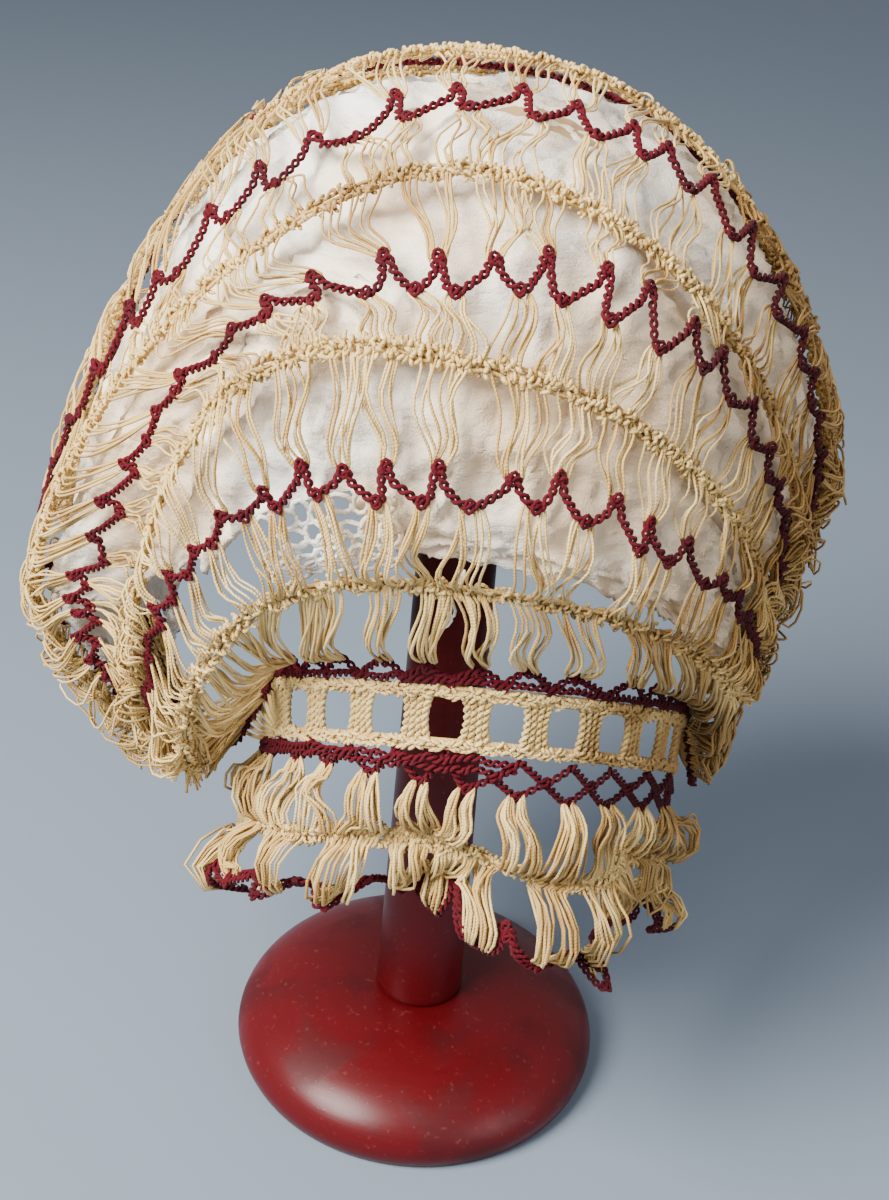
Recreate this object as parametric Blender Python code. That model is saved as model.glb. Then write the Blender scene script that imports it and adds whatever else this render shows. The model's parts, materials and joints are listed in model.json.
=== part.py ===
"""Crocheted nightcap of hairpin lace on a turned wooden hat stand.

Metres, +Z up, origin at the centre of the base's underside. The nape of the cap faces -Y.
Six lace strips run from ear to ear like the arches of a hood. Zigzag chains join them, a beading
band closes the nape, and a ruffled frill hangs from it. A cloth cover on the stand fills the cap.
"""
from collections import namedtuple
from math import asin, cos, pi, radians, sin
from operator import attrgetter

import bmesh
import bpy
from mathutils import Vector

# Stand
BASE_DIAMETER = 0.145
BASE_HEIGHT = 0.030
BASE_FOOT_DIAMETER = 0.139
BASE_RIM_HEIGHT = 0.007
BASE_SEAT_DIAMETER = 0.044
POST_FOOT_DIAMETER = 0.0345
POST_NECK_DIAMETER = 0.024
POST_FOOT_BEAD = 0.003
TOP_DIAMETER = 0.078
TOP_HEIGHT = 0.030
TOP_EDGE_HEIGHT = 0.010

# Crown of the cap
EAR_AXIS_HEIGHT = 0.277
EAR_AXIS_SET_BACK = 0.011
CROWN_RISE = 0.113
CROWN_HALF_DEPTH = 0.105
CROWN_HALF_WIDTH = 0.130
CROWN_CENTRE_X = -0.0045
NAPE_DROP = 0.054
ARCH_FALL_POWER = 1.3

# Where the ends of the strips gather beside the ears, on a line that runs back by spread and down by
# lean for a quarter turn. The bow of an arch below its widest place is the fuller, the smaller its tuck
Ear = namedtuple("Ear", "reach height set_back spread lean tuck_power")
LEFT_EAR = Ear(reach=0.0814, height=0.1317, set_back=-0.0066, spread=0.026, lean=0.0147, tuck_power=1.19)
RIGHT_EAR = Ear(reach=0.092, height=0.182, set_back=0.012, spread=0.030, lean=0.0, tuck_power=0.90)

# Each strip's angle about the ear axis in degrees, 0 at the nape's level and 90 at the top, the angle of
# the chain above it, and its two sides: the half width as a share of CROWN_HALF_WIDTH, the power of the
# bow above the widest place, fuller when smaller, and a sag that puts that place lower when smaller
Side = namedtuple("Side", "share shoulder_power sag_power")
Strip = namedtuple("Strip", "angle chain_angle left right")
STRIPS = [
    Strip(angle=-15.8, chain_angle=11.0, left=Side(0.64, 0.60, 0.92), right=Side(0.77, 0.92, 1.00)),
    Strip(angle=26.0, chain_angle=40.0, left=Side(0.75, 0.61, 1.03), right=Side(0.81, 0.92, 1.00)),
    Strip(angle=55.0, chain_angle=71.0, left=Side(1.04, 0.88, 0.74), right=Side(0.88, 0.92, 1.00)),
    Strip(angle=89.0, chain_angle=107.0, left=Side(1.01, 0.93, 1.00), right=Side(0.98, 0.92, 1.00)),
    Strip(angle=125.0, chain_angle=143.0, left=Side(0.95, 0.74, 1.12), right=Side(1.03, 0.92, 1.00)),
    Strip(angle=160.0, chain_angle=176.0, left=Side(0.91, 0.82, 1.08), right=Side(0.93, 0.92, 1.00)),
]

# Turn of a chain: its centre, and the way up the lace there
Turn = namedtuple("Turn", "point up")

# Lace
LACE_THICKNESS = 0.0020
SPINE_WIDTH = 0.0065
SPINE_RISE = 0.0015
FAN_TIP_WIDTH = 0.0040
FAN_NECK_SHARE = 0.36
FAN_PUFF = 0.0020
FANS_PER_STRIP = 10
FAN_REACH_SHARE = 0.76
CHAIN_DIAMETER = 0.0026
CHAIN_SWING_SHARE = 0.20
CHAIN_LIFT = 0.0010

# Nape band and frill
BAND_HALF_WIDTH = 0.074
BAND_DEPTH = 0.074
BAND_CENTRE_X = 0.010
BAND_CENTRE_Y = -0.004
BAND_TOP_HEIGHT = 0.222
BAND_SLOPE_SHARE = 0.72
BEADING_HEIGHT = 0.024
BEADING_RAIL = 0.0045
BEADING_WINDOW = 0.0090
BEADING_WINDOWS = 12
UPPER_CHAIN_HEIGHT = 0.011
LOWER_CHAIN_HEIGHT = 0.015
FRILL_LOOPS = 0.026
FRILL_EDGE_HEIGHT = 0.007
FRILL_FLARE = 0.004
FRILL_FANS = 7
FRILL_REACH_SHARE = 0.92
FOLD_DEPTH = 0.015

# Folds of the frill: place along the band from -1 to 1, and how far out of line as a share of FOLD_DEPTH
Fold = namedtuple("Fold", "along out_share")
FOLDS = [
    Fold(along=-1.00, out_share=0.2),
    Fold(along=-0.50, out_share=1.0),
    Fold(along=-0.10, out_share=-1.2),
    Fold(along=0.28, out_share=1.0),
    Fold(along=0.62, out_share=-0.8),
    Fold(along=1.00, out_share=0.3),
]

# Cloth cover
COVER_THICKNESS = 0.0020
COVER_CLEARANCE = 0.0034
COVER_REACH_SHARE = 0.82
COVER_NAPE_ANGLE = -12.0
COVER_FACE_ANGLE = 192.0
COVER_FOLD_DEPTH = 0.0030
COVER_FOLDS = 7
COVER_STEPS_ACROSS = 20
COVER_STEPS_ROUND = 22

SEAT_GAP = 0.0003
LACE_GAP = 0.0005
PROBE = 0.001


def clear_scene():
    for leftover in list(bpy.data.objects):
        bpy.data.objects.remove(leftover, do_unlink=True)


def material(name, colour, roughness, metallic=0.0):
    made = bpy.data.materials.new(name)
    made.use_nodes = True
    shader = made.node_tree.nodes["Principled BSDF"]
    shader.inputs["Base Color"].default_value = (*colour, 1.0)
    shader.inputs["Roughness"].default_value = roughness
    shader.inputs["Metallic"].default_value = metallic
    return made


def add_object(name, data, finish):
    made = bpy.data.objects.new(name, data)
    bpy.context.scene.collection.objects.link(made)
    data.materials.append(finish)
    return made


def between(low, high, share):
    return low + (high - low) * share


def table_value(rows, key, column, at):
    """Column of a table read between its rows, eased so that the value has no kink at a row."""
    keys = [attrgetter(key)(row) for row in rows]
    values = [attrgetter(column)(row) for row in rows]
    if at <= keys[0]:
        return values[0]
    for low, high in zip(range(len(rows)), range(1, len(rows))):
        if at <= keys[high]:
            share = (at - keys[low]) / (keys[high] - keys[low])
            return between(values[low], values[high], (1 - cos(pi * share)) / 2)
    return values[-1]


def signed_power(value, power):
    return abs(value) ** power * (1 if value >= 0 else -1)


def arch_share(place, shoulder_power):
    """Share of an arch's swing at a place from its crown, 0, to the ear, 1. A full bow runs out fast at
    the crown, so the share starts as a power that keeps the places there evenly apart."""
    return place ** (1 / shoulder_power) * (1 - place) + place ** 2


def crown(across, angle):
    """Point of the cap's surface. across runs from the left ear, -1, to the right ear, 1. Each arch
    is a rounded bow: it starts level at the crown, swings out to its half width and tucks in under
    it to the ear."""
    ear, side = (LEFT_EAR, "left") if across < 0 else (RIGHT_EAR, "right")
    share, shoulder_power, sag_power = (
        table_value(STRIPS, "angle", f"{side}.{column}", angle) for column in Side._fields)
    half_width = max(CROWN_HALF_WIDTH * share, ear.reach + LACE_THICKNESS)
    swing_at_ear = pi - asin((ear.reach / half_width) ** (1 / ear.tuck_power))
    swing = arch_share(abs(across), shoulder_power) * swing_at_ear
    reach = half_width * sin(swing) ** (shoulder_power if swing < pi / 2 else ear.tuck_power)
    fall = 1 - signed_power(cos(swing), ARCH_FALL_POWER)
    fall = (fall / (1 - signed_power(cos(swing_at_ear), ARCH_FALL_POWER))) ** sag_power
    turn = radians(angle)
    rise = CROWN_RISE if angle > 0 else NAPE_DROP
    top = Vector((0, EAR_AXIS_SET_BACK - CROWN_HALF_DEPTH * cos(turn), EAR_AXIS_HEIGHT + rise * sin(turn)))
    behind = (angle - 90) / 90
    foot = Vector((0, ear.set_back + ear.spread * behind, ear.height - ear.lean * behind))
    place = top.lerp(foot, fall)
    place.x = CROWN_CENTRE_X + (reach if across >= 0 else -reach)
    return place


def nape_band(along, height):
    """Point of the nape band's wall, height measured up from the beading's top edge. The band is a
    half oval in a plane that falls towards the ears."""
    swing = along * pi / 2
    front = Vector((sin(swing) * BAND_HALF_WIDTH, -cos(swing) * BAND_DEPTH, 0))
    fall = BAND_SLOPE_SHARE * BAND_DEPTH * (1 - cos(swing))
    return Vector((BAND_CENTRE_X, BAND_CENTRE_Y, BAND_TOP_HEIGHT - fall + height)) + front


FRILL_TOP = -BEADING_HEIGHT - SEAT_GAP - CHAIN_DIAMETER / 2 - LOWER_CHAIN_HEIGHT
FRILL_SPINE = FRILL_TOP - FRILL_LOOPS
FRILL_FOOT = FRILL_SPINE - FRILL_LOOPS


def frill(along, height):
    """Point of the frill's wall, height as on the nape band. It leaves the band flat, and its flare
    and folds grow on the way down."""
    share = (FRILL_TOP - height) / (FRILL_TOP - FRILL_FOOT)
    out = share * (FRILL_FLARE + FOLD_DEPTH * table_value(FOLDS, "along", "out_share", along))
    swing = along * pi / 2
    return nape_band(along, height) + Vector((sin(swing), -cos(swing), 0)) * out


def frame_at(surface, along, row):
    """Point of a surface with its unit vectors along the row, up the surface and out of it."""
    step = PROBE if surface is not crown else PROBE * 180
    here = surface(along, row)
    ahead = (surface(along + PROBE, row) - surface(along - PROBE, row)).normalized()
    up = surface(along, row + step) - surface(along, row - step)
    out = ahead.cross(up).normalized()
    return here, ahead, out.cross(ahead), out


def toothed_stations(reach, fans):
    """Places along a strip, four to a fan, symmetric about its middle."""
    count = 4 * fans
    return [between(-reach, reach, index / count) for index in range(count + 1)]


def bare_end(reach, end, count=4):
    """Places along the stretch past the last fan, out to the strip's end."""
    return [between(reach, end, index / count) for index in range(1, count + 1)]


def lace_strip(name, surface, row, reach, fans, turns_up, turns_down, finish, end=1.0):
    """Strip of hairpin lace: a braided spine with fans of loops up and down. turns_up and
    turns_down give, for a station's number, the turn of the chain that catches the fan there."""
    toothed = toothed_stations(reach, fans)
    left_end = [-place for place in reversed(bare_end(reach, end))] if end > reach else []
    right_end = bare_end(reach, end) if end > reach else []
    stations = left_end + toothed + right_end
    sheet = bmesh.new()
    edges = {-1: [], 1: []}
    middles = []
    for place in stations:
        here, ahead, up, out = frame_at(surface, place, row)
        middle = here + out * (LACE_THICKNESS + SPINE_RISE)
        middles.append(sheet.verts.new(middle))
        for side in (-1, 1):
            edge = here + out * LACE_THICKNESS + up * side * SPINE_WIDTH / 2
            edges[side].append(sheet.verts.new(edge))
    for first in range(len(stations) - 1):
        second = first + 1
        sheet.faces.new((edges[-1][first], edges[-1][second], middles[second], middles[first]))
        sheet.faces.new((middles[first], middles[second], edges[1][second], edges[1][first]))
    for side, turns in ((1, turns_up), (-1, turns_down)):
        for number, turn in turns.items():
            root = [edges[side][len(left_end) + number + offset] for offset in range(-2, 3)]
            add_fan(sheet, surface, row, toothed[number], root, turn, side)
    mesh = bpy.data.meshes.new(name)
    sheet.to_mesh(mesh)
    sheet.free()
    made = add_object(name, mesh, finish)
    wall = made.modifiers.new("wall", 'SOLIDIFY')
    wall.thickness = LACE_THICKNESS
    wall.offset = -1
    return made


def add_fan(sheet, surface, row, place, root, turn, side):
    """One fan of loops: as wide as its root on the spine, drawn in at its neck, and caught at a turn
    of the chain."""
    _, ahead, _, out = frame_at(surface, place, row)
    tip = turn.point - turn.up * side * (CHAIN_DIAMETER / 2 + LACE_GAP)
    root_width = (root[-1].co - root[0].co).length
    neck = root[2].co.lerp(tip, 0.5) + out * FAN_PUFF
    neck_half = ahead * root_width * FAN_NECK_SHARE / 2
    tip_half = ahead * FAN_TIP_WIDTH / 2
    neck_left, neck_right = sheet.verts.new(neck - neck_half), sheet.verts.new(neck + neck_half)
    tip_left, tip_right = sheet.verts.new(tip - tip_half), sheet.verts.new(tip + tip_half)
    loops = [
        (root[0], root[1], neck_left),
        (root[1], root[2], root[3], neck_right, neck_left),
        (root[3], root[4], neck_right),
        (neck_left, neck_right, tip_right, tip_left),
    ]
    for loop in loops:
        sheet.faces.new(loop if side > 0 else loop[::-1])


def chain(name, turns, finish):
    """Crocheted chain, a round cord from turn to turn."""
    curve = bpy.data.curves.new(name, 'CURVE')
    curve.dimensions = '3D'
    curve.bevel_depth = CHAIN_DIAMETER / 2
    curve.bevel_resolution = 1
    curve.use_fill_caps = True
    spline = curve.splines.new('POLY')
    spline.points.add(len(turns) - 1)
    for slot, turn in zip(spline.points, turns):
        slot.co = (*turn.point, 1)
    return add_object(name, curve, finish)


def turned(name, profile, sides, finish):
    """Turned piece: a profile of radius and height from the top of its axis to the bottom, spun once."""
    mesh = bpy.data.meshes.new(name)
    points = [(radius, 0, height) for radius, height in profile]
    mesh.from_pydata(points, [(index, index + 1) for index in range(len(points) - 1)], [])
    made = add_object(name, mesh, finish)
    spin = made.modifiers.new("turning", 'SCREW')
    spin.steps = spin.render_steps = sides
    spin.use_merge_vertices = True
    spin.merge_threshold = 0.00005
    spin.use_smooth_shade = True
    return made


def make_crown(ecru, crimson):
    """The lace strips and the zigzag chains that join them. A chain's lower turns lie at stations 2,
    6, 10 and so on, its upper turns halfway between."""
    stations = toothed_stations(FAN_REACH_SHARE, FANS_PER_STRIP)
    low_numbers = range(2, len(stations), 4)
    high_numbers = range(4, len(stations) - 4, 4)
    caught_below = {number: upper_turn(stations[number], True) for number in high_numbers}
    for index, strip in enumerate(STRIPS):
        next_angle = STRIPS[index + 1].angle if index + 1 < len(STRIPS) else None
        above = between(strip.chain_angle, strip.angle, CHAIN_SWING_SHARE)
        if next_angle is None:
            below_next = between(strip.chain_angle, strip.angle, -CHAIN_SWING_SHARE)
        else:
            below_next = between(strip.chain_angle, next_angle, CHAIN_SWING_SHARE)
        low = {number: crown_turn(stations[number], above) for number in low_numbers}
        high = {number: crown_turn(stations[number], below_next) for number in high_numbers}
        lace_strip(f"strip_{index}", crown, strip.angle, FAN_REACH_SHARE, FANS_PER_STRIP, low,
                   caught_below, ecru)
        turns = [low[number] if number in low else crown_turn(stations[number], below_next)
                 for number in range(0, len(stations), 2)]
        chain("face_edge_chain" if next_angle is None else f"join_chain_{index + 1}", turns, crimson)
        caught_below = high


def crown_turn(across, angle):
    here, _, up, out = frame_at(crown, across, angle)
    return Turn(here + out * (CHAIN_LIFT + CHAIN_DIAMETER / 2), up)


def wall_turn(wall, along, height):
    """Turn of a chain that lies in the middle of a wall's thickness."""
    here, _, up, out = frame_at(wall, along, height)
    return Turn(here + out * LACE_THICKNESS / 2, up)


def upper_turn(along, high):
    """Turn of the chain above the beading: its low turns rest on the beading's top edge."""
    rest = SEAT_GAP + CHAIN_DIAMETER / 2
    return wall_turn(nape_band, along, rest + (UPPER_CHAIN_HEIGHT if high else 0))


def make_nape_band(ecru, crimson):
    """Zigzag chain, beading band and lower chain of the nape."""
    stations = toothed_stations(FAN_REACH_SHARE, FANS_PER_STRIP)
    turns = [upper_turn(stations[number], number % 4 == 0) for number in range(0, len(stations), 2)]
    chain("band_upper_chain", turns, crimson)

    columns = 2 * BEADING_WINDOWS + 1
    length = pi / 2 * (BAND_HALF_WIDTH + BAND_DEPTH)
    window = BEADING_WINDOW / length
    post = (1.0 - BEADING_WINDOWS * window) / (BEADING_WINDOWS + 1)
    marks = [-1.0]
    for column in range(columns):
        marks.append(marks[-1] + 2 * (post if column % 2 == 0 else window))
    rows = [-BEADING_HEIGHT, -BEADING_HEIGHT + BEADING_RAIL, -BEADING_RAIL, 0.0]
    sheet = bmesh.new()
    grid = []
    for mark in marks:
        grid.append([])
        for row in rows:
            here, _, _, out = frame_at(nape_band, mark, row)
            grid[-1].append(sheet.verts.new(here + out * LACE_THICKNESS))
    for column in range(columns):
        for row in range(3):
            if column % 2 == 1 and row == 1:
                continue
            near, far = grid[column], grid[column + 1]
            sheet.faces.new((near[row], far[row], far[row + 1], near[row + 1]))
    mesh = bpy.data.meshes.new("beading_band")
    sheet.to_mesh(mesh)
    sheet.free()
    band = add_object("beading_band", mesh, ecru)
    wall = band.modifiers.new("wall", 'SOLIDIFY')
    wall.thickness = LACE_THICKNESS
    wall.offset = -1


def make_frill(ecru, crimson):
    """Ruffled strip below the band, the chain that holds it up and the zigzag along its foot."""
    stations = toothed_stations(FRILL_REACH_SHARE, FRILL_FANS)
    low_numbers = range(2, len(stations), 4)
    high_numbers = range(4, len(stations) - 4, 4)
    lower_rest = -BEADING_HEIGHT - LACE_GAP - CHAIN_DIAMETER / 2
    hold = [wall_turn(nape_band, stations[number], FRILL_TOP if number in low_numbers else lower_rest)
            for number in range(0, len(stations), 2)]
    chain("band_lower_chain", hold, crimson)
    edge_low = FRILL_FOOT - FRILL_EDGE_HEIGHT
    edge = [wall_turn(frill, stations[number], FRILL_FOOT if number in high_numbers else edge_low)
            for number in range(0, len(stations), 2)]
    chain("frill_edge_chain", edge, crimson)
    held_by = {number: hold[number // 2] for number in low_numbers}
    edged_by = {number: edge[number // 2] for number in high_numbers}
    lace_strip("frill_strip", frill, FRILL_SPINE, FRILL_REACH_SHARE, FRILL_FANS, held_by, edged_by, ecru,
               end=FRILL_REACH_SHARE)


def cover_place(across, angle, depth=0.0):
    """Point of the cloth cover, depth below its outer side. It lies a clearance inside the lace, and
    soft folds that run from ear to ear sink it further."""
    here, _, _, out = frame_at(crown, across, angle)
    turn = (angle - COVER_NAPE_ANGLE) / (COVER_FACE_ANGLE - COVER_NAPE_ANGLE)
    fold = (1 - cos(2 * pi * COVER_FOLDS * turn + 2 * sin(3 * across))) / 2
    return here - out * (COVER_CLEARANCE + COVER_FOLD_DEPTH * fold + depth)


def cover_grid(depth=0.0):
    """Rows of the cover's corner points, from the nape round to the face."""
    rows = []
    for step in range(COVER_STEPS_ROUND + 1):
        angle = between(COVER_NAPE_ANGLE, COVER_FACE_ANGLE, step / COVER_STEPS_ROUND)
        places = [between(-COVER_REACH_SHARE, COVER_REACH_SHARE, side / COVER_STEPS_ACROSS)
                  for side in range(COVER_STEPS_ACROSS + 1)]
        rows.append([cover_place(place, angle, depth) for place in places])
    return rows


def make_cover(white):
    sheet = bmesh.new()
    grid = [[sheet.verts.new(place) for place in row] for row in cover_grid()]
    for low, high in zip(grid, grid[1:]):
        for side in range(COVER_STEPS_ACROSS):
            sheet.faces.new((low[side], low[side + 1], high[side + 1], high[side]))
    mesh = bpy.data.meshes.new("cloth_cover")
    sheet.to_mesh(mesh)
    sheet.free()
    cover = add_object("cloth_cover", mesh, white)
    wall = cover.modifiers.new("wall", 'SOLIDIFY')
    wall.thickness = COVER_THICKNESS
    wall.offset = -1


def dome(radius, low, high, edge_radius, steps):
    """Quarter of an oval from the flat top's edge down and out to the widest ring."""
    profile = []
    for step in range(steps + 1):
        turn = between(pi / 2, 0, step / steps)
        profile.append((edge_radius + (radius - edge_radius) * cos(turn), low + (high - low) * sin(turn)))
    return profile


def make_stand(red, wood_top):
    rim = BASE_DIAMETER / 2
    profile = [(0, BASE_HEIGHT)]
    profile += dome(rim, BASE_RIM_HEIGHT, BASE_HEIGHT, BASE_SEAT_DIAMETER / 2, 7)
    profile += [(BASE_FOOT_DIAMETER / 2, 0), (0, 0)]
    turned("stand_base", profile, 40, red)

    crown_height = cover_ceiling() - LACE_GAP
    top_low = crown_height - TOP_HEIGHT
    foot = BASE_HEIGHT + SEAT_GAP
    neck = top_low - SEAT_GAP
    profile = [
        (0, neck), (POST_NECK_DIAMETER / 2, neck),
        (POST_FOOT_DIAMETER / 2, foot + POST_FOOT_BEAD), (POST_FOOT_DIAMETER / 2, foot), (0, foot),
    ]
    turned("stand_post", profile, 24, red)

    edge = top_low + TOP_EDGE_HEIGHT
    profile = [(0, crown_height)] + dome(TOP_DIAMETER / 2, edge, crown_height, 0.0, 5)[1:]
    profile += [(POST_NECK_DIAMETER, top_low), (0, top_low)]
    turned("stand_top", profile, 24, wood_top)


def cover_ceiling():
    """Greatest height at which the stand's domed top fits under the cover's inner side."""
    heights = []
    radius = TOP_DIAMETER / 2
    grid = cover_grid(COVER_THICKNESS)
    for low, high in zip(grid, grid[1:]):
        for side in range(COVER_STEPS_ACROSS):
            for across_share in (0, 0.5, 1):
                for round_share in (0, 0.5):
                    near = low[side].lerp(low[side + 1], across_share)
                    far = high[side].lerp(high[side + 1], across_share)
                    place = near.lerp(far, round_share)
                    if place.z > EAR_AXIS_HEIGHT and place.xy.length < radius:
                        fall = 1 - (1 - (place.xy.length / radius) ** 2) ** 0.5
                        heights.append(place.z + (TOP_HEIGHT - TOP_EDGE_HEIGHT) * fall)
    return min(heights)


def build():
    clear_scene()
    ecru = material("ecru_cotton", (0.56, 0.45, 0.26), 0.85)
    crimson = material("crimson_cotton", (0.19, 0.006, 0.016), 0.75)
    white = material("white_cloth", (0.80, 0.77, 0.71), 0.9)
    red = material("red_painted_wood", (0.26, 0.014, 0.016), 0.35)
    wood_top = material("plain_wood", (0.45, 0.30, 0.17), 0.6)
    make_stand(red, wood_top)
    make_cover(white)
    make_crown(ecru, crimson)
    make_nape_band(ecru, crimson)
    make_frill(ecru, crimson)


build()
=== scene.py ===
# %% [markdown]
# # A crocheted nightcap on its hat stand
# The cap is hairpin lace: six strips, each a braided spine with thread loops to both sides, arch
# from ear to ear like the ribs of a hood. Crimson zigzag chains catch the loops and join the
# strips, an openwork band closes the nape and a ruffled frill hangs from it. A white cloth on a
# turned red stand fills the cap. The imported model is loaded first, as a frame that stays fixed:
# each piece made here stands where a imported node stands.

# %% Load the frame
import json
from math import pi, radians

import bpy
import numpy as np
from mathutils import Matrix, Vector

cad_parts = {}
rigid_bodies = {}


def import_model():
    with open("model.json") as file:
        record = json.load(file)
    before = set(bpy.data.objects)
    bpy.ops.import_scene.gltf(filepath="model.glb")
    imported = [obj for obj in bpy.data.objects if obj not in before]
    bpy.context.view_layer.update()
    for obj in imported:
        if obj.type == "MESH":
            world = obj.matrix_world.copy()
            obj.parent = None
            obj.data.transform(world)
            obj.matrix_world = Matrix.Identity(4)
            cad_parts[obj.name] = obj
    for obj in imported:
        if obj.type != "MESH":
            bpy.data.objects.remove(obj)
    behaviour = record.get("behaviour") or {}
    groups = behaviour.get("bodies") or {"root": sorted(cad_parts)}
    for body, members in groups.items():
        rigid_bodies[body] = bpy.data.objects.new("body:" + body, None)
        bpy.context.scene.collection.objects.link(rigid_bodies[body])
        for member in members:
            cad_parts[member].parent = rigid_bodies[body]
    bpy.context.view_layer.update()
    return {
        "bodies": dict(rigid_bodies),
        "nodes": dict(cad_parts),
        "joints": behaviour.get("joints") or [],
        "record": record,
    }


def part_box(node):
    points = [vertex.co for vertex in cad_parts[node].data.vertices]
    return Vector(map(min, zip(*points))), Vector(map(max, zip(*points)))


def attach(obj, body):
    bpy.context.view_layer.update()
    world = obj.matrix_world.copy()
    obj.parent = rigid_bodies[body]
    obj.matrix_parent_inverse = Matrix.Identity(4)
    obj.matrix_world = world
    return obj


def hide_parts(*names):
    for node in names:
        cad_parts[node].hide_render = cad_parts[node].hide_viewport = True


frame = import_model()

BODY = "root"

# %% [markdown]
# ## The camera
# The photograph looks down at the nape with the camera a little rolled. The place and the angles
# were fitted to the stand's foot and to the ends of the lace strips. The lens is 48 mm on a frame
# 36 mm high, so the picture's height fixes the view and its width follows.

# %% Camera
CAMERA_PLACE = (-0.003, -0.49001, 0.48403)
CAMERA_DOWN = 29.5
CAMERA_ROLL = 5.0


def place_camera():
    """Camera turned up from straight down by 90 degrees less the downward angle, then rolled."""
    data = bpy.data.cameras.new("camera")
    data.lens = 48
    data.sensor_fit = 'VERTICAL'
    data.sensor_height = 36
    camera = bpy.data.objects.new("camera", data)
    bpy.context.scene.collection.objects.link(camera)
    tilt = Matrix.Rotation(radians(90 - CAMERA_DOWN), 4, 'X')
    roll = Matrix.Rotation(radians(CAMERA_ROLL), 4, 'Z')
    camera.matrix_world = Matrix.Translation(CAMERA_PLACE) @ tilt @ roll
    bpy.context.scene.camera = camera


place_camera()

# %% [markdown]
# ## The cap's surface
# Everything on the cap lies on one invisible surface, so that loops meet chains without fitting.
# It could be a sculpted mesh, but a formula is easier to change: `across` runs from the left ear,
# -1, to the right ear, 1, and `angle` runs round the head from the nape, below 0 degrees, over
# the top, 90, to the face, 180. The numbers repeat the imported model's, but for one chain's two degrees.

# %% Crown surface
LACE_THICKNESS = 0.0020
EAR_AXIS_HEIGHT = 0.277
EAR_AXIS_SET_BACK = 0.011
CROWN_RISE = 0.113
CROWN_HALF_DEPTH = 0.105
CROWN_HALF_WIDTH = 0.130
CROWN_CENTRE_X = -0.0045
NAPE_DROP = 0.054
ARCH_FALL_POWER = 1.3
LEFT_EAR = {"reach": 0.0814, "height": 0.1317, "set_back": -0.0066, "spread": 0.026,
            "lean": 0.0147, "tuck": 1.19}
RIGHT_EAR = {"reach": 0.092, "height": 0.182, "set_back": 0.012, "spread": 0.030,
             "lean": 0.0, "tuck": 0.90}
STRIP_ANGLES = np.array([-15.8, 26.0, 55.0, 89.0, 125.0, 160.0])
CHAIN_ANGLES = np.array([11.0, 40.0, 71.0, 109.0, 143.0, 176.0])
LEFT_SIDE = {"share": np.array([0.64, 0.75, 1.04, 1.01, 0.95, 0.91]),
             "shoulder": np.array([0.60, 0.61, 0.88, 0.93, 0.74, 0.82]),
             "sag": np.array([0.92, 1.03, 0.74, 1.00, 1.12, 1.08])}
RIGHT_SIDE = {"share": np.array([0.77, 0.81, 0.88, 0.98, 1.03, 0.93]),
              "shoulder": np.full(6, 0.92),
              "sag": np.full(6, 1.0)}


def unit(vectors):
    """Vectors divided by their own lengths."""
    return vectors / np.maximum(np.linalg.norm(vectors, axis=-1, keepdims=True), 1e-12)


def matched(first, second):
    """Two values as arrays of one shape."""
    return np.broadcast_arrays(np.asarray(first, float), np.asarray(second, float))


def eased_table(at, keys, values):
    """Table read between its rows, with the way from row to row eased by half a cosine wave."""
    at = np.clip(at, keys[0], keys[-1])
    row = np.clip(np.searchsorted(keys, at) - 1, 0, len(keys) - 2)
    share = (at - keys[row]) / (keys[row + 1] - keys[row])
    return values[row] + (values[row + 1] - values[row]) * (1 - np.cos(pi * share)) / 2


def arch_fall(swing):
    """How far an arch has fallen: 1 less the cosine of the swing raised to a power, sign kept."""
    level = np.cos(swing)
    return 1 - np.sign(level) * np.abs(level) ** ARCH_FALL_POWER


def arch_share(place, shoulder):
    """Share of an arch's swing at a place from its crown, 0, to the ear, 1: a power that keeps the
    places evenly apart where the bow runs out fast, eased into a square towards the ear."""
    return place ** (1 / shoulder) * (1 - place) + place ** 2


def crown(across, angle):
    """Each arch swings out sideways as a power of a sine and falls as a power of a cosine, from a
    point on the half oval over the head to a point beside the ear."""
    across, angle = matched(across, angle)
    left = across < 0
    ear = {part: np.where(left, LEFT_EAR[part], RIGHT_EAR[part]) for part in LEFT_EAR}
    side = {part: np.where(left, eased_table(angle, STRIP_ANGLES, LEFT_SIDE[part]),
                           eased_table(angle, STRIP_ANGLES, RIGHT_SIDE[part])) for part in LEFT_SIDE}
    half_width = np.maximum(CROWN_HALF_WIDTH * side["share"], ear["reach"] + LACE_THICKNESS)
    swing_at_ear = pi - np.arcsin((ear["reach"] / half_width) ** (1 / ear["tuck"]))
    swing = arch_share(np.abs(across), side["shoulder"]) * swing_at_ear
    power = np.where(swing < pi / 2, side["shoulder"], ear["tuck"])
    reach = half_width * np.maximum(np.sin(swing), 0) ** power
    fall = (arch_fall(swing) / arch_fall(swing_at_ear)) ** side["sag"]
    turn = np.radians(angle)
    rise = np.where(angle > 0, CROWN_RISE, NAPE_DROP)
    top_y = EAR_AXIS_SET_BACK - CROWN_HALF_DEPTH * np.cos(turn)
    top_z = EAR_AXIS_HEIGHT + rise * np.sin(turn)
    behind = (angle - 90) / 90
    foot_y = ear["set_back"] + ear["spread"] * behind
    foot_z = ear["height"] - ear["lean"] * behind
    return np.stack([CROWN_CENTRE_X + np.where(left, -reach, reach),
                     top_y + (foot_y - top_y) * fall,
                     top_z + (foot_z - top_z) * fall], axis=-1)


print("top of the cap", crown(0, 90))

# %% [markdown]
# ## Drift and frames
# Handmade lace is never as regular as a formula. A sum of a few slow sine waves, with seeded
# directions, drifts the rows by a few millimetres. All the pieces drift together, because the
# drift is part of the surface. `frame_on` gives the directions that a piece needs to stand on it.

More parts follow.
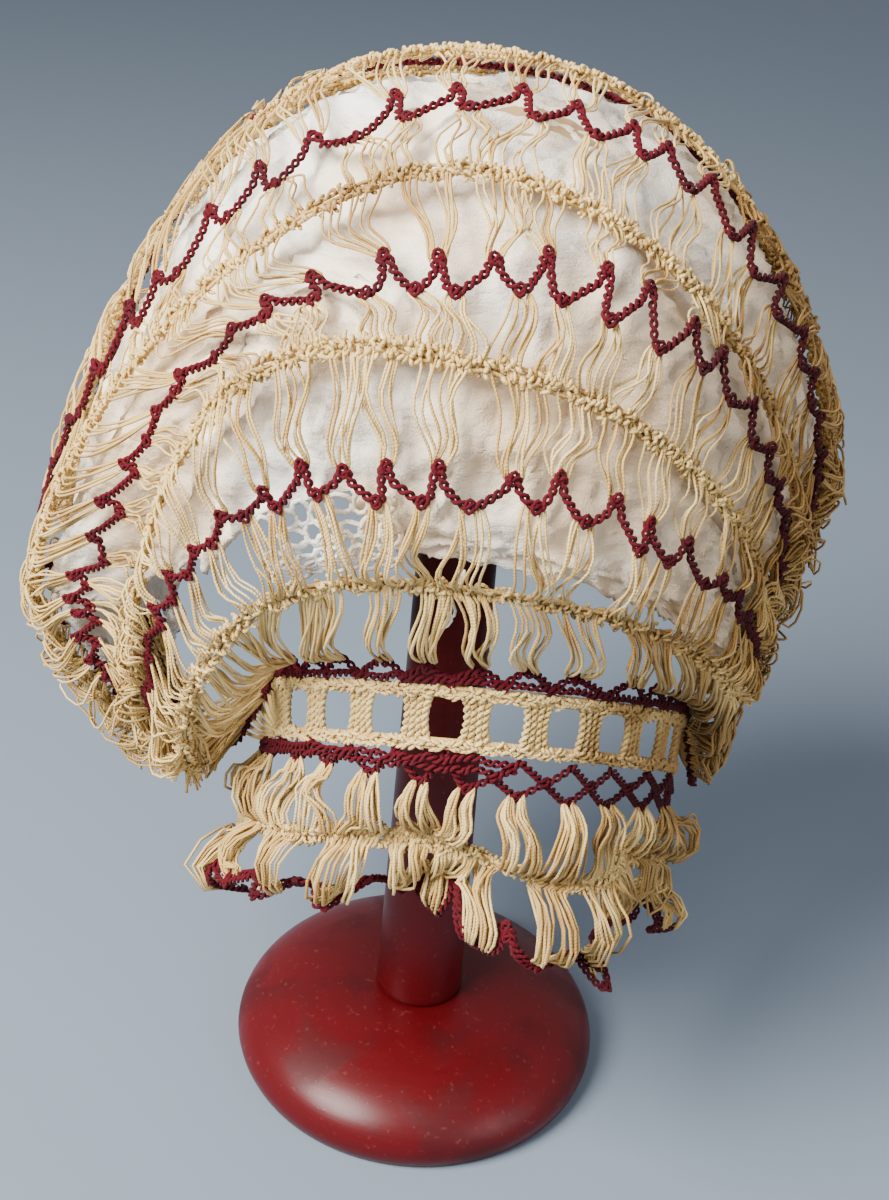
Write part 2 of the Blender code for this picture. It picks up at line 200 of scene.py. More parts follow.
# %% Drift and frames
DRIFT_DEGREES = 1.7
HUMP = 0.0022
ALONG_STEP = 0.001
DEGREE_STEP = 0.18
METRE_STEP = 0.001


def slow_waves(first, second, pace, seed):
    """Sum of five sine waves with seeded paces and phases, kept within about -1 and 1."""
    seeded = np.random.default_rng(seed)
    total = np.zeros(np.broadcast(first, second).shape)
    for _ in range(5):
        pace_one, pace_two = seeded.uniform(0.4, 1.0, 2) * pace * seeded.choice([-1, 1], 2)
        total = total + np.sin(first * pace_one + second * pace_two + seeded.uniform(0, 2 * pi))
    return total / 3


def cap(across, angle):
    """Crown with its angle drifted and with low humps away from the middle of the head."""
    across, angle = matched(across, angle)
    round_head = angle / 30
    drifted = angle + DRIFT_DEGREES * slow_waves(across, round_head, 9.0, 3)
    place = crown(across, drifted)
    middle = np.array([CROWN_CENTRE_X, EAR_AXIS_SET_BACK, EAR_AXIS_HEIGHT - 0.04])
    hump = HUMP * slow_waves(across, round_head, 7.0, 5)
    return place + unit(place - middle) * (hump[..., None] - HUMP / 2)


ROW_STEPS = {crown: DEGREE_STEP, cap: DEGREE_STEP}


def frame_on(surface, along, row):
    """Point of a surface with its unit vectors along the row, up the surface and out of it, from
    differences over a small step each way."""
    row_step = ROW_STEPS.get(surface, METRE_STEP)
    ahead = unit(surface(along + ALONG_STEP, row) - surface(along - ALONG_STEP, row))
    up = surface(along, row + row_step) - surface(along, row - row_step)
    out = unit(np.cross(ahead, up))
    return surface(along, row), ahead, np.cross(out, ahead), out


print("drift keeps the top at", cap(0, 90))

# %% [markdown]
# ## Threads as tubes
# Thread could be a curve object with a round bevel, but thousands of curves are slow. Here a whole
# batch of threads is one array: paths by points by coordinates. Each point gets a ring of corners,
# the rings are joined by quads, and a quad shuts each end. Every corner also keeps a place along
# and round its thread, for the twist of the yarn, and a tone, so that each thread has its own shade.

# %% Thread batches
THREAD_SIDES = 4


def thread_batch(paths, radius, normals, tones):
    """Tubes on paths: a ring at a point is the path plus the radius times the cosine of the turn to
    the side and the sine of the turn out along the normal."""
    count, steps = paths.shape[:2]
    ahead = unit(np.gradient(paths, axis=1))
    side = unit(np.cross(ahead, np.broadcast_to(normals, paths.shape)))
    lift = np.cross(side, ahead)
    turn = 2 * pi * np.arange(THREAD_SIDES) / THREAD_SIDES
    ring = np.cos(turn)[:, None] * side[:, :, None] + np.sin(turn)[:, None] * lift[:, :, None]
    points = (paths[:, :, None] + radius * ring).reshape(-1, 3)

    corner = np.arange(count * steps * THREAD_SIDES).reshape(count, steps, THREAD_SIDES)
    after = np.roll(corner, -1, axis=2)
    walls = np.stack([corner[:, :-1], corner[:, 1:], after[:, 1:], after[:, :-1]], axis=-1)
    quads = np.vstack([walls.reshape(-1, 4), corner[:, 0], corner[:, -1, ::-1]])

    pieces = np.linalg.norm(np.diff(paths, axis=1), axis=2)
    length = np.concatenate([np.zeros((count, 1)), np.cumsum(pieces, axis=1)], axis=1)
    length = np.broadcast_to(length[..., None], corner.shape)
    low, high = length[:, :-1], length[:, 1:]
    near = np.broadcast_to(np.arange(THREAD_SIDES) / THREAD_SIDES, low.shape)
    far = near + 1 / THREAD_SIDES
    wall_uv = np.stack([near, low, near, high, far, high, far, low], axis=-1)
    uv = np.vstack([wall_uv.reshape(-1, 2), np.zeros((count * 2 * 4, 2))])
    tone = np.repeat(tones, steps * THREAD_SIDES)
    return {"points": points, "quads": quads, "uv": uv, "tone": tone}


def build_mesh(name, batches):
    """Mesh from batches of quads, put in as whole arrays."""
    offsets = np.cumsum([0] + [len(batch["points"]) for batch in batches[:-1]])
    points = np.vstack([batch["points"] for batch in batches])
    quads = np.vstack([batch["quads"] + offset for batch, offset in zip(batches, offsets)])
    mesh = bpy.data.meshes.new(name)
    mesh.vertices.add(len(points))
    mesh.loops.add(quads.size)
    mesh.polygons.add(len(quads))
    mesh.vertices.foreach_set("co", points.ravel())
    mesh.loops.foreach_set("vertex_index", quads.ravel())
    mesh.polygons.foreach_set("loop_start", np.arange(len(quads)) * 4)
    mesh.update(calc_edges=True)
    mesh.shade_smooth()
    layer = mesh.uv_layers.new(name="yarn")
    layer.uv.foreach_set("vector", np.vstack([batch["uv"] for batch in batches]).ravel())
    shade = mesh.attributes.new("tone", 'FLOAT', 'POINT')
    shade.data.foreach_set("value", np.concatenate([batch["tone"] for batch in batches]))
    return mesh


def add_piece(name, mesh, finish, slot, *replaced):
    """Object for a mesh, with its finish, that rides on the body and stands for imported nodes."""
    piece = bpy.data.objects.new(name, mesh)
    bpy.context.scene.collection.objects.link(piece)
    mesh.materials.append(finish)
    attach(piece, BODY)
    if replaced:
        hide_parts(*replaced)
    print(f"{name}: {len(mesh.polygons)} faces")
    return piece


# %% [markdown]
# ## Shader maths
# A material is a graph of nodes. Writing each node by hand hides the idea, so one small class wraps
# a socket: `a * 2 + b` adds the Math nodes that work it out, and `node` adds any other node.

# %% Socket class
class Graph:
    """Output socket of a material's node tree, with arithmetic."""

    def __init__(self, tree, socket=None):
        self.tree = tree
        self.socket = socket

    def node(self, kind, settings=None, inputs=None, output=0):
        """Add a node: settings are its own values, set first, and inputs fill its sockets."""
        made = self.tree.nodes.new(kind)
        for key, value in (settings or {}).items():
            setattr(made, key, value)
        for key, value in (inputs or {}).items():
            if isinstance(value, Graph):
                self.tree.links.new(value.socket, made.inputs[key])
            else:
                made.inputs[key].default_value = value
        return Graph(self.tree, made.outputs[output])

    def math(self, operation, first, second):
        return self.node('ShaderNodeMath', {"operation": operation}, {0: first, 1: second})

    def __add__(self, other):
        return self.math('ADD', self, other)

    __radd__ = __add__

    def __mul__(self, other):
        return self.math('MULTIPLY', self, other)

    def __sub__(self, other):
        return self.math('SUBTRACT', self, other)

    def __rsub__(self, other):
        return self.math('SUBTRACT', other, self)

    def sine(self):
        return self.node('ShaderNodeMath', {"operation": 'SINE'}, {0: self})

    def between(self, low, high):
        """0 below low, 1 above high, and a smooth way from one to the other."""
        inputs = {"Value": self, "From Min": low, "From Max": high}
        return self.node('ShaderNodeMapRange', {"interpolation_type": 'SMOOTHSTEP'}, inputs)

    def mix(self, first, second):
        """Colour that goes from first to second as this value goes from 0 to 1."""
        inputs = {"Factor": self, 6: first, 7: second}
        return self.node('ShaderNodeMix', {"data_type": 'RGBA'}, inputs, 2)

    def axis(self, index):
        """One coordinate: 0 for X, 1 for Y, 2 for Z."""
        return self.node('ShaderNodeSeparateXYZ', None, {0: self}, index)

    def stretched(self, scale, turn=(0, 0, 0)):
        inputs = {"Vector": self, "Rotation": turn, "Scale": scale}
        return self.node('ShaderNodeMapping', None, inputs)

    def noise(self, scale, detail):
        inputs = {"Vector": self, "Scale": scale, "Detail": detail}
        return self.node('ShaderNodeTexNoise', None, inputs)

    def bump(self, strength, distance):
        inputs = {"Height": self, "Strength": strength, "Distance": distance}
        return self.node('ShaderNodeBump', None, inputs)


def start_finish(name):
    """New material with its shader and its object coordinates."""
    finish = bpy.data.materials.new(name)
    finish.use_nodes = True
    shader = finish.node_tree.nodes["Principled BSDF"]
    place = Graph(finish.node_tree).node('ShaderNodeTexCoord', output="Object")
    return finish, shader, place


def connect(shader, links, constants):
    """Join varying values to a shader and set the constant ones on its own sockets."""
    for name, value in links.items():
        shader.id_data.links.new(value.socket, shader.inputs[name])
    for name, value in constants.items():
        shader.inputs[name].default_value = value


# %% [markdown]
# ## Cotton finishes
# The ecru cotton has aged unevenly. Plain colours would look like plastic, so each thread has its
# own tone between pale cream and golden brown, and noise stains it. Painted shade darkens both yarns
# towards the right ear, the side away from the window lamp, and in the grooves of the twist, a
# slanted wave along the thread's own map. The crimson is the same yarn, dyed.

# %% Cotton finishes
YARN_LAY = 0.0011
# Painted shade: the yarn and the cloth darken from the middle to this place towards the right ear.
RIGHT_SHADE_PLACE = 0.11
ECRU_PALE = (0.80, 0.59, 0.25, 1)
ECRU_GOLD = (0.54, 0.33, 0.095, 1)
# The dark colours stand for stains and also for painted shade on the right and in the twist.
ECRU_BROWN = (0.22, 0.10, 0.022, 1)
CRIMSON_BRIGHT = (0.092, 0.0010, 0.0065, 1)
CRIMSON_DARK = (0.028, 0.0008, 0.003, 1)


def cotton(name, pale, mid, dark, stain_shade_low, stain_shade_high):
    """Yarn: the thread's tone mixes the pale and mid colours, and slow noise stains it towards the dark
    one. Painted shade darkens it towards the right ear and in the grooves of the twist, which is the
    sine of a turn that grows both along and round the thread."""
    finish, shader, place = start_finish(name)
    tone = place.node('ShaderNodeAttribute', {"attribute_name": "tone"}, output="Fac")
    yarn = place.node('ShaderNodeUVMap', {"uv_map": "yarn"})
    twist = (yarn.axis(1) * (2 * pi / YARN_LAY) + yarn.axis(0) * (2 * pi)).sine() * 0.5 + 0.5
    fuzz = place.noise(900.0, 3.0)
    # Painted shade: darker towards the right ear, the side away from the window lamp.
    right = place.axis(0).between(0.0, RIGHT_SHADE_PLACE)
    stain_and_shade = (place.noise(26.0, 4.0) + right * 0.26).between(stain_shade_low, stain_shade_high)
    colour = (tone + (fuzz - 0.5) * 0.5).mix(mid, pale)
    colour = (stain_and_shade * 0.75).mix(colour, dark)
    # Painted shade: the grooves of the twist are darkened.
    colour = ((1 - twist) * 0.22).mix(colour, dark)
    height = twist * 0.6 + fuzz * 0.4
    connect(shader, {"Base Color": colour, "Normal": height.bump(0.55, 0.0003)},
            {"Roughness": 0.82, "Sheen Weight": 0.04, "Sheen Roughness": 0.5,
             "Specular IOR Level": 0.18})
    return finish


ECRU = "ecru_cotton"
CRIMSON = "crimson_cotton"
YARNS = {ECRU: cotton("ecru cotton yarn", ECRU_PALE, ECRU_GOLD, ECRU_BROWN, 0.50, 0.78),
         CRIMSON: cotton("crimson cotton yarn", CRIMSON_BRIGHT, CRIMSON_BRIGHT, CRIMSON_DARK,
                         0.45, 0.72)}


def add_threads(name, batches, yarn, node):
    """Piece of yarn made of batches of threads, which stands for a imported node."""
    add_piece(name, build_mesh(name, batches), YARNS[yarn], yarn, node)


# %% [markdown]
# ## Where the turns lie
# A crimson chain swings between two strips and catches four loops at each turn. The turns are 14
# to 18 mm apart over the crown and closer beside the ears, where the lace is drawn together. Each
# loop could look for the nearest turn, but one table of turns, with a little seeded jitter, serves
# the chains and the loops, so they always meet.

# %% Turns of the joins
TURNS = np.array([32, 39, 41, 41, 41, 39])
TURN_REACH = 0.965
DRAWN_SHARE = 0.095
CALMED_SHARE = 0.68
TURN_JITTER = 0.2
ANGLE_JITTER = 1.1
SHIFT_JITTER = 0.16
SWING_SHARES = np.array([0.14, 0.22, 0.21, 0.13, 0.20, 0.20])
JOINS = len(STRIP_ANGLES)
lots = np.random.default_rng(11)


def jitter(size, count=None):
    """Seeded values from minus a size to the size."""
    return lots.uniform(-size, size, count)


def squeeze(share):
    """Even shares from -1 to 1 drawn together towards both ends by a sine."""
    return TURN_REACH * (share + DRAWN_SHARE * np.sin(pi * share))


def calm(along):
    """How much of its swing a chain keeps at a place: all over the crown and a third beside the
    ears. The left side, which is drawn together more, calms down sooner."""
    start = np.where(along < 0, 0.10, 0.25)
    return 1 - CALMED_SHARE * np.clip((np.abs(along) - start) / 0.35, 0, 1)


def make_turns():
    """For each join the places and angles of its low turns and of the high turns between them."""
    table = []
    for join, turns in enumerate(TURNS):
        pitch = 2 / turns
        low_shares = -1 + pitch * (np.arange(turns) + 0.5)
        high_shares = low_shares[:-1] + pitch / 2
        middle, below = CHAIN_ANGLES[join], STRIP_ANGLES[join]
        last = join + 1 == JOINS
        above = 2 * middle - below if last else STRIP_ANGLES[join + 1]
        shift = jitter(SHIFT_JITTER) * pitch
        low = squeeze(low_shares + shift + jitter(TURN_JITTER, turns) * pitch)
        high = squeeze(high_shares + shift + jitter(TURN_JITTER, turns - 1) * pitch)
        rows = [middle + (strip - middle) * SWING_SHARES[join] * calm(places)
                + jitter(ANGLE_JITTER, len(places))
                for places, strip in ((low, below), (high, above))]
        table.append({"low": low, "low_angle": rows[0], "high": high, "high_angle": rows[1]})
    return table


JOIN_TURNS = make_turns()
print(f"{JOINS} joins with {TURNS} low turns")

# %% [markdown]
# ## Crimson chains
# Crochet chain is a row of links, each drawn through the last, with a small hole in each link. Two
# threads wound round each other give the same look with few faces: where they lie side by side they
# make a link with its hole, and where they cross they make the knot between two links. At each high
# turn the chain runs up a short stem and down again, and one ring stands for the stitch that grips.

# %% Crochet chains
CHAIN_THREAD = 0.00066
LINK_PAIR = 0.0052
LINK_STEPS = 8
LINK_SIDE = 0.00088
LINK_OUT = 0.00078
CHAIN_LIFTS = np.array([0.0024, 0.0024, 0.0024, -0.0012, 0.0024, 0.0024])
GRIP_RADIUS = 0.0013
TURN_ASIDE = np.array([[-0.32, -0.12, 0.12, 0.32], [-0.20, -0.15, 0.15, 0.20]])
TURN_BACK = np.array([[0.10, 0.0, 0.0, 0.10], [0.40, 0.0, 0.0, 0.40]])


def even_path(points, step):
    """Rows of values moved along a broken line so that its points, the first three columns, lie one
    step apart."""
    pieces = np.linalg.norm(np.diff(points[:, :3], axis=0), axis=1)
    length = np.concatenate([[0], np.cumsum(pieces)])
    marks = np.linspace(0, length[-1], max(4, int(length[-1] / step)))
    return np.stack([np.interp(marks, length, column) for column in points.T], axis=1)


def softened(points):
    """Mean of each point, counted twice, and its two neighbours, which rounds the corners."""
    padded = np.pad(points, ((1, 1), (0, 0)), 'edge')
    return padded[:-2] / 4 + padded[1:-1] / 2 + padded[2:] / 4


def zigzag(low, high, low_rows, high_rows, stem=1.0):
    """Way of a chain from low turn to high turn. It passes four points at each turn, given by the
    tables as shares of the way to the turns beside it: a round bottom at a low turn, and at a high
    turn an upright stem, up one side and down the other."""
    along = np.empty(len(low) + len(high))
    rows = np.empty(len(along))
    along[0::2], along[1::2] = low, high
    rows[0::2], rows[1::2] = low_rows, high_rows
    kind = np.arange(len(along)) % 2
    aside = stem * np.gradient(along)[:, None] * TURN_ASIDE[kind]
    beside = np.convolve(np.pad(rows, 1, 'edge'), [0.5, 0, 0.5], 'valid')
    back = (beside - rows)[:, None] * stem * TURN_BACK[kind]
    return (along[:, None] + aside).ravel(), (rows[:, None] + back).ravel()


def crochet_chain(surface, along, row, lift):
    """Chain on a surface: a thread's side offset is the cosine of its turn and its offset out of the
    surface is the sine, and the second thread is half a turn on."""
    shares = np.linspace(0, 1, len(along))
    fine = np.linspace(0, 1, 5 * len(along))
    here, _, _, out = frame_on(surface, np.interp(fine, shares, along), np.interp(fine, shares, row))
    both = even_path(np.hstack([here + out * lift, out]), LINK_PAIR / LINK_STEPS)
    spine, out = softened(both[:, :3]), unit(both[:, 3:])
    side = np.cross(unit(np.gradient(spine, axis=0)), out)
    turn = np.cumsum(2 * pi / LINK_STEPS * lots.uniform(0.7, 1.3, len(spine)))
    paths = [spine + side * (LINK_SIDE * np.cos(turn + strand))[:, None]
             + out * (LINK_OUT * np.sin(turn + strand))[:, None] for strand in (0, pi)]
    return thread_batch(np.array(paths), CHAIN_THREAD, out, lots.uniform(0.2, 0.9, 2))


def grips(surface, along, row, lift):
    """Rings that stand on the turns: a circle in the plane of the way up and a slanted side."""
    here, ahead, up, out = frame_on(surface, along, row)
    turn = np.linspace(0, 2 * pi, 9)
    slant = unit(ahead + out * jitter(0.5, len(along))[:, None])
    centre = here + out * (lift + CHAIN_THREAD * 0.8)
    paths = (centre[:, None] + GRIP_RADIUS * (np.cos(turn)[:, None] * slant[:, None]
                                              + 1.5 * np.sin(turn)[:, None] * up[:, None]))
    return thread_batch(paths, CHAIN_THREAD * 0.95, out[:, None], lots.uniform(0.2, 0.9, len(along)))


def chain_with_grips(surface, low, high, low_rows, high_rows, lift, stem=1.0):
    """A chain with a ring on each of its turns."""
    low_rows, high_rows = np.broadcast_to(low_rows, low.shape), np.broadcast_to(high_rows, high.shape)
    along, row = zigzag(low, high, low_rows, high_rows, stem)
    places, rows = np.concatenate([low, high]), np.concatenate([low_rows, high_rows])
    return [crochet_chain(surface, along, row, lift), grips(surface, places, rows, lift)]


def make_join(join):
    """Chain of one join, from turn to turn, with its grips. The fourth, over the top of the head,
    has sunk between its loops."""
    turns = JOIN_TURNS[join]
    batches = chain_with_grips(cap, turns["low"], turns["high"], turns["low_angle"],
                               turns["high_angle"], CHAIN_LIFTS[join])
    last = join + 1 == JOINS
    add_threads("zigzag_face_edge" if last else f"zigzag_join_{join + 1}", batches, CRIMSON,
                "face_edge_chain" if last else f"join_chain_{join + 1}")


for join in range(JOINS):
    make_join(join)

# %% [markdown]
# ## Spines of the lace
# The spine of hairpin lace is a column of tight stitches worked along the middle of the fork. It
# could be a textured ribbon, but its knobbly edge shows against the white cloth. So each stitch is
# a short arched thread, laid over a flat core, with its slant and place jittered.

# %% Spine stitches
SPINE_HALF = 0.0028
STITCH_HALF = 0.0012
STITCH_THREAD = 0.00062
STITCHES_PER_METRE = 2450
STITCH_STEPS = 4
STITCH_RISE = 0.0010
UNDER_SHARE = 0.36
CORE_THREADS = 3
CORE_THREAD = 0.0007
CORE_STEP = 0.003
CORE_SPREAD = 0.55
SPINE_LIFT = 0.0016
FRAY_THREADS = 9
FRAY_LENGTH = 0.006
FRAY_THREAD = 0.0004
FRAY_DROOP = np.array([0, 0, 0.004])


def row_length(surface, row, reach):
    """Length of a row of the surface between two ends."""
    line = surface(np.linspace(-reach, reach, 400), row)
    return np.linalg.norm(np.diff(line, axis=0), axis=1).sum()


def arched_stitches(centre, frame, slant, half, rise, tones):
    """Short threads across a row: a line both ways from the centre, turned by a slant, and lifted
    by one less the square of the place along it."""
    _, ahead, up, out = frame
    heading = ahead * np.cos(slant)[:, None] + up * np.sin(slant)[:, None]
    swing = np.linspace(-1, 1, STITCH_STEPS)
    paths = (centre[:, None] + heading[:, None] * (half * swing)[..., None]
             + out[:, None] * (rise * (1 - swing ** 2))[..., None])
    return thread_batch(paths, STITCH_THREAD, out[:, None], tones)


def slants(low, high, count):
    """Seeded slants that lean to one side and the other by turns."""
    return lots.uniform(low, high, count) * np.where(np.arange(count) % 2 == 0, 1, -1)


def spine_batches(surface, row, reach, half_width=SPINE_HALF):
    """Core threads along the row and arched stitches round them. About a third of the stitches arch
    inwards."""
    length = row_length(surface, row, reach)
    marks = np.linspace(-reach, reach, int(length / CORE_STEP))
    here, _, up, out = frame_on(surface, marks, row)
    lanes = np.linspace(-1, 1, CORE_THREADS)[:, None] * half_width * CORE_SPREAD
    lanes = lanes + jitter(0.0005, (CORE_THREADS, len(marks)))
    core = here + lanes[..., None] * up + out * (SPINE_LIFT * 0.7)
    batches = [thread_batch(core, CORE_THREAD, out, np.full(CORE_THREADS, 0.3))]

    count = int(length * STITCHES_PER_METRE * half_width / SPINE_HALF)
    place = -reach + 2 * reach * (np.arange(count) + lots.uniform(0, 1, count)) / count
    frame = frame_on(surface, place, row)
    here, _, up, out = frame
    lane = jitter(1.12, count)
    slant = slants(0.5, 1.5, count)
    under = lots.uniform(0, 1, count) < UNDER_SHARE
    lift = np.where(under, SPINE_LIFT * 0.3, SPINE_LIFT * lots.uniform(0.8, 1.2, count))
    centre = here + up * (lane * half_width)[:, None] + out * lift[:, None]
    half = STITCH_HALF * lots.uniform(0.7, 1.25, (count, 1))
    over = lots.uniform(0.7, 1.5, count) * (1.15 - 0.45 * lane ** 2)
    rise = STITCH_RISE * np.where(under, -0.6, over)[:, None]
    batches.append(arched_stitches(centre, frame, slant, half, rise, lots.uniform(0.25, 1.25, count)))
    return batches + [frayed_ends(surface, row, reach)]


def frayed_ends(surface, row, reach):
    """Loose threads at both ends of a spine, which fan out and droop by a square."""
    ends = np.repeat([-reach, reach], FRAY_THREADS)
    count = (len(ends), 1)
    here, ahead, up, out = frame_on(surface, ends, row)
    outward = ahead * np.sign(ends)[:, None] + up * jitter(0.7, count)
    outward = unit(outward + out * jitter(0.5, count))
    share = np.linspace(0, 1, 7)
    length = FRAY_LENGTH * lots.uniform(0.4, 1.0, count)
    start = here + up * (SPINE_HALF * jitter(1, count)) + out * SPINE_LIFT
    paths = start[:, None] + outward[:, None] * (length * share)[..., None]
    paths = paths - FRAY_DROOP * (share ** 2)[:, None]
    return thread_batch(paths, FRAY_THREAD, out[:, None], lots.uniform(0, 1, len(ends)))


# %% [markdown]
# ## Loops of the lace
# Each loop is one thread that leaves the spine, reaches a turn of the chain and comes back beside
# itself. Loops caught at the same turn spread at the spine and close up towards the turn, like a
# sheaf. Single loops are worked out as whole arrays, with seeded bends, and they sag where they
# run level.

# %% Loop threads
LOOP_STEPS = 21
LOOP_LIFT = 0.0016
EAR_FULLNESS = 0.0050
EAR_CURL = 1.6
CAP_PUFF = 0.0022
STRADDLE = 0.12
ROOT_LAGS = (0.16, 0.74)
ROOT_JITTER = 0.55
SHEAF_LEAN = 0.45
ROOT_POWER = 0.85
TIP_POWER = 1.4
BOW_SHARE = 0.35
UPWARD = np.array([0, 0, 1.0])


def gathered(along):
    """How gathered the lace is at a place: 0 over the crown and 1 beside the ears."""
    return np.clip((np.abs(along) - 0.5) / 0.4, 0, 1)


def sheaf_loops(surface, spine_row, turns, turn_rows, lay, seed):
    """Loops between a spine and a row of turns. Along a loop the way to the tip is 1 less a power
    of the place, from -1 at one root to 1 at the other. The side way from the turn is 1 less a
    power of that way: a flare below 1 makes a tulip that opens at once, a flare above 1 a sheaf
    with a neck. Half the loops pass on each side of the turn. Puff lifts the middle, and slow waves
    that a sheaf shares bend it."""
    seeded = np.random.default_rng(seed)
    per_turn = lay["per_turn"]
    count = len(turns) * per_turn
    turn = np.repeat(np.arange(len(turns)), per_turn)
    slot = np.tile(np.arange(per_turn), len(turns))
    middle, pitch = turns[turn], turn_pitch(turns)[turn]
    stray_root = seeded.uniform(-ROOT_JITTER, ROOT_JITTER, (2, count))
    lean = seeded.uniform(-SHEAF_LEAN, SHEAF_LEAN, len(turns))[turn]
    narrow = seeded.uniform(0.7, 1.0, len(turns))[turn]
    first, second = [middle + pitch * narrow * ((slot + lag + aside) / per_turn - 0.5 + lean)
                     for lag, aside in zip(ROOT_LAGS, stray_root)]
    place = np.linspace(-1, 1, LOOP_STEPS)
    place = np.sign(place) * np.abs(place) ** ROOT_POWER
    way = 1 - np.abs(place) ** TIP_POWER
    root = np.where(place < 0, first[:, None], second[:, None])
    tip_half = pitch * seeded.uniform(0.02, 0.07, count)
    half = np.where(2 * slot + 1 < per_turn, -1, 1)
    straddle = STRADDLE * half + seeded.uniform(-0.05, 0.05, count)
    bow = np.sin(pi / 2 * np.clip(place / BOW_SHARE, -1, 1))
    tip = (middle + pitch * straddle)[:, None] + tip_half[:, None] * bow
    flare = seeded.uniform(*lay["flares"], (len(turns), 1))[turn]
    flare = flare * seeded.uniform(0.85, 1.15, (count, 1))
    along = tip + (root - tip) * (1 - way ** (1 / flare))
    overshoot = seeded.uniform(-0.01, 0.05, (count, 1))
    row = spine_row + (turn_rows[turn][:, None] - spine_row) * way * (1 + overshoot)
    here, ahead, up, out = frame_on(surface, along, row)

    bend = lay["bend"] * (1 + EAR_CURL * gathered(middle))[:, None]
    bend = bend * seeded.uniform(0.5, 1.3, (count, 1))
    belly = np.sin(pi * way)
    phase = seeded.uniform(0, 2 * pi, (2, len(turns), 1))[:, turn]
    phase = phase + seeded.uniform(-0.8, 0.8, (2, count, 1))
    pace = seeded.uniform(0.4, 1.1, (len(turns), 1))[turn]
    wander = np.sin(2 * pi * way * pace + phase[0]) * belly
    stray = np.sin(2 * pi * place * seeded.uniform(0.3, 0.7, (count, 1)) + phase[1]) * belly
    puff = lay["puff"](along) * belly * seeded.uniform(0.3, 1.15, (count, 1))
    height = LOOP_LIFT + puff + bend * 0.5 * stray
    level = 1 - np.abs(up[..., 2:])
    sag = lay["sag"] * level * belly[..., None] * seeded.uniform(0.5, 1.2, (count, 1, 1))
    paths = here + ahead * (bend * wander)[..., None] + out * height[..., None] - sag * UPWARD
    return thread_batch(paths, lay["thread"], out, seeded.uniform(0.0, 1.15, count))


def turn_pitch(places):
    """Distance that each turn has to itself: half the way to the turns on both sides."""
    return np.abs(np.gradient(places))


def cap_puff(along):
    """Loops stand prouder beside the ears, where the lace is gathered."""
    return CAP_PUFF + EAR_FULLNESS * gathered(along)


CAP_LAY = {"per_turn": 4, "thread": 0.00043, "puff": cap_puff, "bend": 0.0028, "sag": 0.0035,
           "flares": (0.45, 1.1)}
print("loop thread is", 2000 * CAP_LAY["thread"], "mm thick")

# %% [markdown]
# ## The six strips
# A strip is its spine, the loops above it, caught by the low turns of the join above, and the loops
# below it, caught by the high turns of the join below. The first strip's lower loops go down to the
# chain on top of the nape band, so its turns come from the band.

# %% Nape band surface
BAND_HALF_WIDTH = 0.074
BAND_DEPTH = 0.074
BAND_CENTRE_X = 0.010
BAND_CENTRE_Y = -0.004
BAND_TOP_HEIGHT = 0.222
BAND_SLOPE_SHARE = 0.72
BEADING_HEIGHT = 0.024
BEADING_RAIL = 0.0045
BEADING_WINDOW = 0.0090
BEADING_WINDOWS = 12
LOWER_CHAIN_HEIGHT = 0.015
FRILL_LOOPS = 0.026
FRILL_FLARE = 0.004
FOLD_DEPTH = 0.015
FOLD_PLACES = np.array([-1.0, -0.5, -0.1, 0.28, 0.62, 1.0])
FOLD_SHARES = np.array([0.2, 1.0, -1.2, 1.0, -0.8, 0.3])
GAP_TURNS = 30
GAP_BULGE = 0.0035
GAP_LAY = {"per_turn": 5, "thread": 0.00050, "puff": cap_puff, "bend": 0.0030, "sag": 0.0060,
           "flares": (0.9, 2.2)}


def nape_band(along, height):
    """Half oval that slopes down towards the ears, height measured from the beading's top edge."""
    along, height = matched(along, height)
    swing = along * pi / 2
    fall = BAND_SLOPE_SHARE * BAND_DEPTH * (1 - np.cos(swing))
    return np.stack([BAND_CENTRE_X + np.sin(swing) * BAND_HALF_WIDTH,
                     BAND_CENTRE_Y - np.cos(swing) * BAND_DEPTH,
                     BAND_TOP_HEIGHT - fall + height], axis=-1)


gap_pitch = 2 / GAP_TURNS
GAP_PLACES = -1 + gap_pitch * (np.arange(GAP_TURNS) + 0.5)
GAP_PLACES = squeeze(GAP_PLACES + jitter(0.22, GAP_TURNS) * gap_pitch)
GAP_ROWS = lots.uniform(-0.05, 0.02, GAP_TURNS)
BAND_HIGH_ROW = 0.0085
BAND_CORNER = 0.6
RIM_END = 0.97
RIM_PLACES = np.array([0.0, 0.33, BAND_CORNER, RIM_END])
RIM_LEFT = np.array([-0.10, -0.58, -0.65, -0.67])
RIM_RIGHT = np.array([-0.10, 0.52, 0.95, 1.0])
RIM_LEFT_END = np.array([-0.020, 0.034, -0.022])
RIM_RIGHT_END = np.array([0.010, 0.002, 0.0])
STRIP_REACH = 0.985


def band_rim(across, height):
    """Rim of the band under a place on the first strip. The strip's middle third hangs straight
    above the band, the next part reaches its corners, and the rest runs down its slanted ends,
    which stand away from the band by a straight line."""
    across, height = matched(across, height)
    size = np.abs(across)
    left = across < 0
    along = np.where(left, np.interp(size, RIM_PLACES, RIM_LEFT), np.interp(size, RIM_PLACES, RIM_RIGHT))
    down = np.interp(size, [BAND_CORNER - 0.05, RIM_END], [0, BEADING_HEIGHT + BAND_HIGH_ROW])
    end = np.where(left[..., None], RIM_LEFT_END, RIM_RIGHT_END)
    away = np.interp(size, [0.5, RIM_END], [0, 1])[..., None]
    return nape_band(along, BAND_HIGH_ROW - down + height) + away * end


